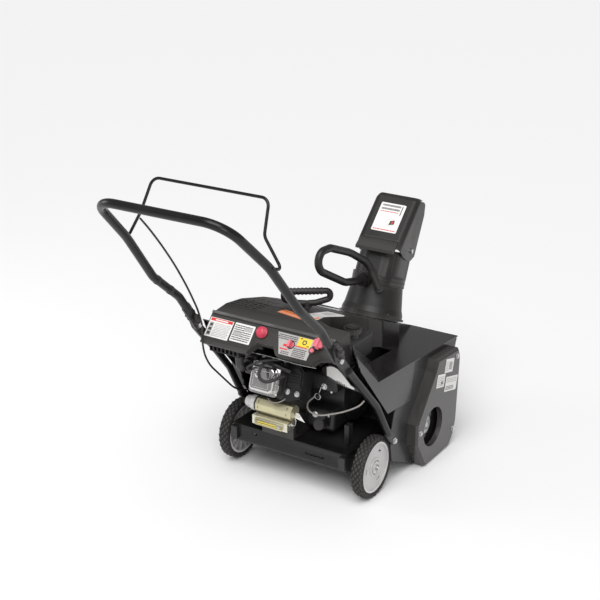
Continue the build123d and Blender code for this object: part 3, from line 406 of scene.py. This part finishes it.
def plate(builder, x, y, width, height, ink, corner=2.0, low=0.0, high=0.45):
    outline = []
    for cx, cy, start in ((x + width - corner, y + height - corner, 0), (x + corner, y + height - corner, 90),
                          (x + corner, y + corner, 180), (x + width - corner, y + corner, 270)):
        for step in range(4):
            angle = math.radians(start + 30 * step)
            outline.append((cx + corner * math.cos(angle), cy + corner * math.sin(angle)))
    builder.prism(outline, low, high, ink)


def panel_labels():
    """The panel's notices: a red-headed one, a mixed one and a wide one with a yellow square."""
    builder = Builder(panel_frame(0, 5))
    left = -242.0
    plate(builder, left, -76, 86, 63, INKS["white"])
    builder.bar(left + 3, -24, 80, 9.5, 0.4, 0.6, INKS["red"])
    builder.bar(left + 20, -21.5, 46, 4, 0.6, 0.75, INKS["white"])
    builder.bar(left + 4, -72, 15, 44, 0.4, 0.55, INKS["grey"])
    for row in range(3):
        builder.bar(left + 6.5, -69 + 14 * row, 10, 9, 0.55, 0.7, INKS["dark"])
    text_rows(builder, left + 23, -72, 58, 44, 9, INKS["grey"], 3)
    middle = -150.0
    plate(builder, middle, -72, 72, 60, INKS["white"])
    text_rows(builder, middle + 3, -68, 64, 52, 8, INKS["dark"], 5)
    builder.bar(middle + 4, -52, 30, 12, 0.4, 0.66, INKS["grey"])
    builder.bar(middle + 40, -34, 26, 14, 0.4, 0.66, INKS["grey"])
    right = Builder(panel_frame(0, 5))
    right.prism([(2, -8), (130, -8), (126, -74), (30, -74)][::-1], 0, 0.45, INKS["grey"])
    right.prism([(78, -9), (124, -9), (122, -37), (78, -37)][::-1], 0.4, 0.6, INKS["yellow"])
    ring(right, 6, 1.6, INKS["dark"], Matrix.Translation((100, -23, 0.5)))
    right.bar(82, -14, 9, 2.5, 0.6, 0.75, INKS["dark"])
    right.bar(110, -34, 8, 3, 0.6, 0.75, INKS["dark"])
    ring(right, 11.5, 1.5, MATERIALS["matte_black"], Matrix.Translation((59, -39, 0.8)))
    right.bar(34, -48, 16, 8, 0.4, 0.6, INKS["red"])
    right.bar(26, -58, 26, 4, 0.4, 0.6, INKS["red"])
    right.bar(70, -40, 44, 3, 0.4, 0.6, INKS["red"])
    text_rows(right, 8, -28, 66, 17, 3, INKS["dark"], 8)
    text_rows(right, 72, -72, 44, 28, 5, INKS["dark"], 9)
    text_rows(right, 34, -72, 28, 11, 2, INKS["dark"], 10)
    piece = builder.build("panel_labels_left", "chassis")
    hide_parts("labels_panel")
    right.build("panel_label_right", "chassis")


def side_labels():
    """Three plain notices on the right cover, set at a slant like the cover's top edge."""
    builder = Builder()
    slant = Matrix.Rotation(math.radians(-15), 4, "Z")

    def notice(y, z, width, height):
        """A white plate about a point of the cover; what is drawn next lies in its plane."""
        builder.to_frame = local_frame((COVER_FACE_X, y, z), (0, -1, 0), (-1, 0, 0)) @ slant
        plate(builder, -width / 2, -height / 2, width, height, INKS["white"], 1.5)

    notice(-395, 306, 60, 46)
    for stripe in range(9):
        builder.bar(-2 + 2.6 * stripe, -14, 0.8 if stripe % 3 else 1.5, 26, 0.4, 0.6, INKS["dark"])
    text_rows(builder, -26, -18, 18, 34, 6, INKS["grey"], 21)
    notice(-336, 273, 56, 44)
    text_rows(builder, -24, -18, 46, 34, 6, INKS["grey"], 22)
    builder.bar(4, -12, 12, 10, 0.4, 0.65, INKS["dark"])
    notice(-412, 236, 88, 50)
    text_rows(builder, -38, 4, 74, 16, 3, INKS["grey"], 23)
    text_rows(builder, -38, -20, 60, 14, 3, INKS["dark"], 25)
    piece = builder.build("side_notices", "chassis")
    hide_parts("labels_side")


def deflector_label():
    """The tall notice on the deflector's sloping back."""
    up, across, back = chute_axes()
    origin = chute_point(0, -22.5, 332.2)
    lean = math.radians(DEFLECTOR_LEAN)
    builder = Builder(local_frame(origin, -across, back * math.cos(lean) + up * math.sin(lean)))
    half_w, half_h = 44, 58
    plate(builder, -half_w, -half_h, 2 * half_w, 2 * half_h, INKS["white"], 4, 0.1, 0.6)
    for row in range(2):
        builder.bar(-half_w + 6, 44 - 14 * row, 2 * half_w - 22, 8, 0.6, 0.75, INKS["grey"])
        text_rows(builder, -half_w + 8, 44 - 14 * row, 2 * half_w - 26, 8, 2, INKS["dark"], 31 + row,
                  0.9, 0.75)
    builder.bar(half_w - 12, 14, 3, 38, 0.6, 0.75, INKS["dark"])
    text_rows(builder, -half_w + 6, 20, 2 * half_w - 24, 6, 1, INKS["red"], 34, 0.75, 0.6)
    builder.prism([(8, -30), (26, -24), (24, -8), (10, -12)], 0.6, 0.75, INKS["dark"])
    builder.prism([(14, -24), (22, -20), (18, -12)], 0.75, 0.9, INKS["red"])
    ring(builder, 15, 0.5, INKS["grey"], Matrix.Translation((12, -18, 0.7)))
    text_rows(builder, -half_w + 5, -54, 2 * half_w - 10, 7, 1, INKS["red"], 33, 0.75, 0.6)
    piece = builder.build("deflector_notice", "deflector")
    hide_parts("label_deflector")


# Tyres

def tyre(name, side, body, node):
    """A low tyre with diamond blocks across its crown and lugs down its shoulders."""
    low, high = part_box(node)
    middle = (low[0] + high[0]) / 2 / MM - GROUND.x / MM
    centre = local_frame((middle, 0, 100), (0, 1, 0), (side, 0, 0))
    rubber = MATERIALS["tyre_rubber"]
    builder = Builder(centre)
    half = 20.0
    profile = [(81.4, -half + 5), (83, -half + 1.5), (84.5, -half), (90, -half + 0.4), (93.5, -half + 3),
               (95.6, -half + 9), (96.4, -7), (96.8, 0), (96.4, 7), (95.6, half - 9),
               (93.5, half - 3), (90, half - 0.4), (84.5, half), (83, half - 1.5), (81.4, half - 5)]
    points, faces = [], []
    segments = 96
    for step in range(segments):
        angle = 2 * math.pi * step / segments
        points += [(r * math.cos(angle), r * math.sin(angle), h) for r, h in profile]
    count = len(profile)
    for step in range(segments):
        following = (step + 1) % segments
        for i in range(count):
            j = (i + 1) % count
            faces.append((step * count + i, following * count + i, following * count + j, step * count + j))
    builder.add(points, faces, rubber)
    blocks = 30
    pitch = 360 / blocks

    def block(angle, across, wide, tall, base, top):
        """A diamond block standing on the crown, drawn as an angle and a distance across."""
        corners = [(-wide, 0.0), (0.0, -tall), (wide, 0.0), (0.0, tall)]
        lower, upper = [], []
        for da, dz in corners:
            for level, radius, share in ((lower, base, 1.0), (upper, top, 0.78)):
                turn = math.radians(angle + da * share)
                level.append((radius * math.cos(turn), radius * math.sin(turn), across + dz * share))
        solid = lower + upper
        sides = [(3, 2, 1, 0), (4, 5, 6, 7)] + [(i, (i + 1) % 4, 4 + (i + 1) % 4, 4 + i) for i in range(4)]
        builder.add(solid, sides, rubber)

    for index in range(blocks):
        turn = pitch * index + 270
        block(turn, 0.0, pitch * 0.44, 5.6, 95.5, 100.0)
        for way in (1, -1):
            block(turn + pitch / 2, way * 7.4, pitch * 0.44, 5.6, 94.5, 99.5)
            block(turn, way * 14.0, pitch * 0.4, 4.4, 92.0, 97.6)
    for way in (1, -1):
        for index in range(blocks):
            mid = math.radians(pitch * (index + 0.5) + 270)
            rows = []
            for radius, height in ((96.8, 14.6), (92.6, 18.6), (88.0, 19.9)):
                for spread in (-2.6, 2.6):
                    turn = mid + math.radians(spread)
                    rows.append((radius * math.cos(turn), radius * math.sin(turn), way * height))
            inner = [(x * 0.965, y * 0.965, z * 0.86) for x, y, z in rows]
            faces = [(0, 1, 3, 2), (2, 3, 5, 4), (6, 8, 9, 7), (8, 10, 11, 9), (0, 6, 7, 1), (4, 5, 11, 10),
                     (0, 2, 8, 6), (2, 4, 10, 8), (1, 7, 9, 3), (3, 9, 11, 5)]
            builder.add(rows + inner, faces, rubber)
    piece = builder.build(name, body, smooth=True)
    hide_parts(node)


# Controls

def primer():
    """The ribbed rubber primer bulb."""
    builder = Builder(panel_frame(48, 30))
    builder.lathe([(0.5, -6), (15.1, -6), (15.1, 4), (18, 4), (18.4, 5.5), (18, 7.5), (15.6, 8.4),
                   (16.6, 9.6), (16.4, 11.6), (14.6, 12.6), (15.3, 13.8), (14.8, 15.8), (12.8, 16.8),
                   (13.0, 18.2), (11.4, 20.2), (8, 21.5), (4, 21.9), (0.5, 22)], MATERIALS["red_plastic"],
                  segments=40)
    piece = builder.build("primer_bellows", "primer", smooth=True)
    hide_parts("primer_bulb")


def lights_camera_floor():
    """A pale floor, soft light all round and a camera where the picture was taken from."""
    scene = bpy.context.scene
    scene.view_settings.view_transform = "Standard"
    world = bpy.data.worlds.new("studio")
    scene.world = world
    world.use_nodes = True
    world.node_tree.nodes["Background"].inputs["Color"].default_value = (1, 1, 1, 1)
    world.node_tree.nodes["Background"].inputs["Strength"].default_value = 0.3
    material, *_, bsdf = shader("pale_floor")
    bsdf.inputs["Base Color"].default_value = (0.88, 0.88, 0.88, 1)
    bsdf.inputs["Roughness"].default_value = 0.9
    bpy.ops.mesh.primitive_plane_add(size=300, location=(0, 0, 0))
    floor = bpy.context.object
    floor.name = "floor"
    floor.data.materials.append(material)
    azimuth, elevation = math.radians(CAMERA_AZIMUTH), math.radians(CAMERA_ELEVATION)
    right = Vector((math.cos(azimuth), math.sin(azimuth), 0))
    back = Vector((math.sin(azimuth) * math.cos(elevation), -math.cos(azimuth) * math.cos(elevation),
                   math.sin(elevation)))
    up = back.cross(right)
    data = bpy.data.cameras.new("camera")
    data.lens = CAMERA_LENS
    data.sensor_width = 36.0
    camera = bpy.data.objects.new("camera", data)
    scene.collection.objects.link(camera)
    aim = GROUND + right * CAMERA_SHIFT[0] + up * CAMERA_SHIFT[1]
    turn = Matrix((right, up, back)).transposed().to_4x4()
    camera.matrix_world = Matrix.Translation(aim + back * CAMERA_DISTANCE) @ turn
    scene.camera = camera
    sun = bpy.data.lights.new("sky_glow", "SUN")
    sun.energy = 2.7
    sun.angle = math.radians(50)
    lamp = bpy.data.objects.new("sky_glow", sun)
    scene.collection.objects.link(lamp)
    lamp.rotation_euler = (math.radians(-28), math.radians(-12), 0)
    for name, spot, size, power in (("strip", (-1.6, 1.9, 1.5), 0.7, 9), ("far", (2.4, 1.2, 1.6), 1.0, 12)):
        light = bpy.data.lights.new(name, "AREA")
        light.size = size
        light.energy = power
        lamp = bpy.data.objects.new(name, light)
        scene.collection.objects.link(lamp)
        lamp.location = spot
        lamp.rotation_euler = (Vector((0, 0, 0.4)) - Vector(spot)).to_track_quat("-Z", "Y").to_euler()


# Decals, leads and fittings

HOOD_RUN = ((134, 554), (71, 561), (-9, 551), (-132, 517), (-225, 481), (-261.5, 467))


def hood_patch(builder, points, ink, low, high):
    """A thin decal on one facet of the hood's top, given as (x, y) points."""
    middle = sum(y for x, y in points) / len(points)
    for (y0, z0), (y1, z1) in zip(HOOD_RUN, HOOD_RUN[1:]):
        if y1 <= middle <= y0:
            rise = (z1 - z0) / (y1 - y0)
            flat = [(x, y, z0 + (y - y0) * rise) for x, y in points]
            normal = Vector((0, -rise, 1)).normalized()
    count = len(flat)
    verts = [Vector(p) + normal * low for p in flat] + [Vector(p) + normal * high for p in flat]
    faces = [tuple(reversed(range(count))), tuple(range(count, 2 * count))]
    faces += [(i, (i + 1) % count, count + (i + 1) % count, count + i) for i in range(count)]
    builder.add(verts, faces, ink)


def hood_decals():
    """The bright stripe beside the pull grip and the pale patch behind it."""
    builder = Builder()
    hood_patch(builder, [(-42, 14), (-42, 68), (74, 46), (74, -4)], INKS["dark"], 0.05, 0.3)
    hood_patch(builder, [(-38, 34), (-38, 62), (70, 41), (70, 14)], INKS["orange"], 0.3, 0.45)
    hood_patch(builder, [(-34, 50), (-34, 53), (66, 32), (66, 29)], INKS["haze"], 0.45, 0.55)
    hood_patch(builder, [(-34, 20), (-34, 29), (20, 20), (20, 11)], INKS["orange"], 0.3, 0.45)
    hood_patch(builder, [(28, 12), (28, 18), (66, 10), (66, 4)], INKS["orange"], 0.3, 0.45)
    hood_patch(builder, [(-8, -8), (-64, -8), (-66, 28), (-50, 50), (-44, 24), (-14, 4)], INKS["haze"],
               0.05, 0.35)
    hood_patch(builder, [(-52, 2), (-60, 2), (-60, 26), (-48, 34)], INKS["orange"], 0.35, 0.5)
    hood_patch(builder, [(-8, -10), (-6, -128), (-70, -128), (-78, -104), (-63, -40), (-62, -10)],
               INKS["haze"], 0.05, 0.35)
    hood_patch(builder, [(-22, -60), (-16, -108), (-52, -112), (-50, -60)], INKS["grey"], 0.35, 0.5)
    builder.build("hood_decals", "chassis")


def curved_notice():
    """A pale notice on a curved shield under the right end of the panel."""
    builder = Builder()
    columns = 9
    for low, high, inset, ink in ((0.0, 1.6, 0, MATERIALS["engine_black"]), (1.6, 2.0, 3, INKS["white"])):
        verts = []
        for step in range(columns + 1):
            share = step / columns
            x = -90 - inset - (136 - 2 * inset) * share
            bow = 9 * math.sin(math.pi * share)
            upper = 408 + 26 * math.sin(math.pi * min(1.0, share * 1.3)) - 44 * share ** 2 - inset
            lower = 392 - 42 * share + 10 * share ** 2 + inset
            for out in (low, high):
                verts.append((x, 38 + bow + out, lower))
                verts.append((x, 38 + bow + out, upper))
        faces = []
        for step in range(columns):
            a, b = 4 * step, 4 * step + 4
            faces += [(a, b, b + 1, a + 1), (a + 2, a + 3, b + 3, b + 2), (a + 1, b + 1, b + 3, a + 3),
                      (a, a + 2, b + 2, b)]
        last = 4 * columns
        faces += [(0, 1, 3, 2), (last, last + 2, last + 3, last + 1)]
        builder.add(verts, faces, ink)
    dice = random.Random(4)
    for index in range(13):
        x = -120 - 5.6 * index
        y = 38 + 9 * math.sin(math.pi * (-98 - x) / 118) + 2.0
        tall = dice.uniform(7, 11)
        place_at = Matrix.Translation((x, y, 386 - 0.22 * (-98 - x)))
        builder.prism([(0, 0), (3.6, 0), (3.6, 0.5), (0, 0.5)], 0, tall, INKS["dark"], place_at)
    builder.build("curved_notice", "chassis", smooth=True)


def hang_tag():
    """A small paper tag on a wire, tied to the starter's box."""
    builder = Builder(local_frame((-38, 100, 259), (-1, 0.1, -0.16), (0, 0.75, 0.66)))
    builder.prism([(-36, 4), (-4, -9), (38, -8), (4, 8)], 0, 0.6, INKS["white"])
    text_rows(builder, -8, -5, 22, 8, 3, INKS["grey"], 41, 0.8, 0.6)
    builder.build("hang_tag", "chassis")
    string = Builder()
    string_run = [(-24, 114, 232), (-30, 120, 230), (-44, 118, 236), (-40, 110, 250), (-22, 102, 262)]
    tube(string, spline(string_run), 0.9, MATERIALS["zinc"])
    upright = Matrix.Rotation(1.57, 4, "Y")
    ring(string, 4.5, 1.6, MATERIALS["zinc"], Matrix.Translation((-29, 114, 230)) @ upright)
    string.build("tag_wire", "chassis", smooth=True)


def leads_and_hoses():
    """The spark lead, the breather hose, the choke wire and the black cable across the back, drawn pale grey
    as a painted highlight.
    """
    builder = Builder()
    rubber = MATERIALS["belt_rubber"]
    gloss = MATERIALS["engine_black"]
    arc = [(-62, 36, 304), (-56, 66, 292), (-78, 92, 282), (-116, 99, 281), (-150, 94, 290),
           (-196, 78, 306), (-232, 62, 326), (-247, 52, 344)]
    # The black cable across the back, given pale grey as a painted highlight along it.
    tube(builder, spline(arc), 2.6, INKS["cable"])
    breather = [(40, 116, 424), (48, 150, 430), (50, 172, 410), (42, 178, 392), (22, 174, 386), (2, 158, 392),
                (-12, 130, 398)]
    tube(builder, spline(breather), 5.2, rubber, 12)
    intake = [(76, 112, 420), (40, 122, 424), (8, 118, 416), (-18, 104, 404)]
    tube(builder, spline(intake), 8.5, gloss, 14)
    lead = [(88, 128, 398), (98, 160, 404), (84, 176, 424), (44, 160, 444), (-4, 110, 440), (-40, 60, 420)]
    tube(builder, spline(lead), 3.4, rubber)
    choke = [(118, 100, 428), (100, 128, 446), (30, 132, 450), (-60, 128, 446), (-128, 134, 452)]
    tube(builder, spline(choke), 1.4, MATERIALS["zinc"])
    drain = [(-12, 112, 318), (4, 128, 306), (30, 134, 300), (52, 126, 306)]
    # The thin lead below, in the same pale grey painted highlight.
    tube(builder, spline(drain), 1.6, INKS["cable"])
    builder.build("leads_and_hoses", "chassis", smooth=True)


def engine_frame(x, s, t):
    """The cylinder's own axes: x across, z along the barrel to the rear, y downwards."""
    lean = math.radians(CYLINDER_LEAN)
    along = Vector((0, math.cos(lean), math.sin(lean)))
    across_barrel = Vector((0, -math.sin(lean), math.cos(lean)))
    origin = Vector(CYLINDER_FOOT) + Vector((x, 0, 0)) + along * s + across_barrel * t
    return local_frame(origin, (1, 0, 0), along)


def cooling_shroud():
    """The black cowl beside the cylinder, with its bolts, ribs and a clipped seam."""
    builder = Builder(engine_frame(0, 0, 0))
    black, zinc = MATERIALS["engine_black"], MATERIALS["zinc"]
    builder.prism([(-112, -46), (-98, -58), (-57, -58), (-57, 50), (-74, 56), (-112, 40)], 160, 224, black)
    builder.prism([(-108, -40), (-96, -52), (-62, -52), (-62, 8), (-108, 8)], 224, 229, black)
    builder.prism([(-57, -66), (44, -66), (50, -60), (50, -57), (-57, -57)], 110, 226, black)
    for row in range(4):
        builder.bar(-104, -34 + 9 * row, 36, 3, 229, 231, black)
    bolt(builder, Matrix.Translation((-66, 26, 224)), BOLT_RADIUS, BOLT_HEIGHT, zinc)
    bolt(builder, Matrix.Translation((-100, 26, 224)), BOLT_RADIUS, BOLT_HEIGHT, zinc)
    for x in (-40, 0, 36):
        small = Matrix.Translation((x, -61, 227)) @ Matrix.Scale(0.6, 4)
        bolt(builder, small, BOLT_RADIUS, BOLT_HEIGHT, zinc)
    builder.build("cooling_shroud", "chassis", bevel=2.5)


def valve_cover_details():
    """The stamped step, the breather boss and rows of raised marks on the rocker cover."""
    builder = Builder(engine_frame(0, 280.4, 0))
    steel = MATERIALS["stamped_steel"]
    outer = [(-31, -29), (31, -29), (31, 29), (-31, 29)]
    for index in range(4):
        (ax, ay), (bx, by) = outer[index], outer[(index + 1) % 4]
        tube(builder, spline([(ax * 0.9, ay * 0.9, 0), (bx * 0.9, by * 0.9, 0)], 2), 1.1, steel, 8)
    builder.lathe([(10, -0.5), (10, 2.4), (8.5, 3.6), (4, 4.2)], steel, Matrix.Translation((14, -12, 0)), 28)
    text_rows(builder, -22, 8, 26, 9, 2, MATERIALS["shave_steel"], 51, 0.4, 0.0)
    builder.build("valve_cover_details", "chassis", smooth=True)


def blower_details():
    """The ring pull, the clip and the pressed ribs on the back of the blower."""
    builder = Builder()
    zinc = MATERIALS["zinc"]
    face = Matrix.Rotation(math.radians(90), 4, "X")
    ring(builder, 10, 1.5, zinc, Matrix.Translation((-74, 38, 308)) @ face)
    tube(builder, spline([(-80, 40, 317), (-86, 46, 330), (-90, 44, 346)]), 1.5, zinc)
    builder.lathe([(6, 0), (6, 4), (4.5, 5), (1, 5.4)], MATERIALS["engine_black"],
                  Matrix.Translation((-74, 33, 308)) @ face.inverted(), 24)
    rib = [(-128, 33.6), (-92, 33.6), (-92, 35.4), (-128, 35.4)]
    for row in range(5):
        builder.prism(rib, 344 + 7 * row, 347 + 7 * row, MATERIALS["engine_black"])
    for x, y, z in ((-52, 35, 366), (-122, 35, 334), (-108, 29, 246)):
        builder.lathe([(4.4, -0.6), (4.4, 2), (3.2, 3), (0.8, 3.2)], zinc,
                      Matrix.Translation((x, y, z)) @ face.inverted(), 20)
    builder.build("blower_details", "chassis", smooth=True)


def starter_casing():
    """The gold-plated electric starter: a flat-sided body, a grey round end and its studs."""
    builder = Builder(local_frame((0, 106, 268), (0, 0, -1), (1, 0, 0)))
    gold, steel = MATERIALS["yellow_zinc"], MATERIALS["cast_alloy"]
    octagon = [(26.5 * math.cos(math.radians(22.5 + 45 * i)), 26.5 * math.sin(math.radians(22.5 + 45 * i)))
               for i in range(8)]
    builder.prism(octagon, -34, 96, gold)
    builder.prism([(x * 0.97, y * 0.97) for x, y in octagon], 96, 102, MATERIALS["engine_black"])
    builder.lathe([(24, 102), (24, 116), (22, 120), (17, 124), (17, 138), (14, 141.5), (3, 142)],
                  MATERIALS["rim_grey"], None, 32)
    builder.lathe([(4, -34.0), (24, -33.9), (24, -33.2)], steel, None, 24)
    for angle in (60, 180, 300):
        dx, dy = 20 * math.cos(math.radians(angle)), 20 * math.sin(math.radians(angle))
        builder.lathe([(2.6, 120), (2.6, 127), (1.8, 128)], MATERIALS["zinc"],
                      Matrix.Translation((dx, dy, 0)), 12)
    for station in (-18, 86):
        ring(builder, 26.2, 0.7, MATERIALS["engine_black"], Matrix.Translation((0, 0, station)), 8, 6)
    piece = builder.build("starter_casing", "chassis", bevel=1.2)
    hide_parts("starter_motor")
    box = Builder(local_frame((38, 136, 226), (-1, 0, 0), (0, 1, 0)))
    plate(box, -52, -12, 100, 20, gold, 4, 0, 6)
    box.bar(-40, -6, 64, 8, 6, 6.4, INKS["yellow"])
    text_rows(box, -38, -5, 60, 6, 1, INKS["dark"], 61, 6.6, 6.4)
    bolt(box, Matrix.Translation((36, -1, 6)) @ Matrix.Scale(0.5, 4), BOLT_RADIUS, BOLT_HEIGHT,
         MATERIALS["zinc"])
    box.build("starter_box_cover", "chassis", bevel=0.8)


def handle_details():
    """Two rubber cable clips round the handle's left leg."""
    builder = Builder()
    rubber = MATERIALS["belt_rubber"]
    low, high = Vector((244, 300, 655)), Vector((247, 410, 750))
    for share in (0.35, 0.85):
        centre, along = low.lerp(high, share), (high - low).normalized()
        side = Vector((1, 0, 0))
        turn = Matrix((side, along.cross(side), along)).transposed().to_4x4()
        builder.lathe([(13.0, -5), (13.6, -4.5), (13.6, 4.5), (13.0, 5)], rubber,
                      Matrix.Translation(centre) @ turn, 32)
    builder.build("handle_clips", "handle", smooth=True)


def chute_details():
    """Pressed bands round the chute's collar and the screws that hold its foot."""
    up, across, _ = chute_axes()
    builder = Builder(local_frame(RING_CENTRE, across, up))
    black = MATERIALS["matte_black"]
    for height, radius in ((112, 89.0), (126, 89.0), (139, 89.0)):
        ring(builder, radius, 1.1, black, Matrix.Translation((0, 0, height)), 64)
    for angle in range(20, 360, 60):
        dx, dy = 99.5 * math.cos(math.radians(angle)), 99.5 * math.sin(math.radians(angle))
        builder.lathe([(3.4, 17), (3.4, 19), (2.4, 20), (0.6, 20.2)], MATERIALS["zinc"],
                      Matrix.Translation((dx, dy, 0)), 16)
    builder.build("chute_bands", "chute", smooth=True)


def fuel_cap_details():
    """A raised ring and a grip bar on top of the fuel cap."""
    low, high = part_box("fuel_cap")
    builder = Builder(Matrix.Translation(((low[0] + high[0]) / 2, (low[1] + high[1]) / 2, high[2]))
                      @ Matrix.Scale(MM, 4))
    black = MATERIALS["matte_black"]
    ring(builder, 17, 1.2, black, Matrix.Translation((0, 0, -0.6)), 40)
    builder.bar(-14, -3, 28, 6, -1.5, 1.2, black)
    builder.build("fuel_cap_top", "filler", smooth=True)


lights_camera_floor()
paint_cad_nodes()
hood_decals()
curved_notice()
hang_tag()
leads_and_hoses()
cooling_shroud()
valve_cover_details()
blower_details()
starter_casing()
handle_details()
chute_details()
fuel_cap_details()
panel_labels()
side_labels()
deflector_label()
tyre("tyre_tread_left", 1, "wheel_left", "tyre_left")
tyre("tyre_tread_right", -1, "wheel_right", "tyre_right")
primer()
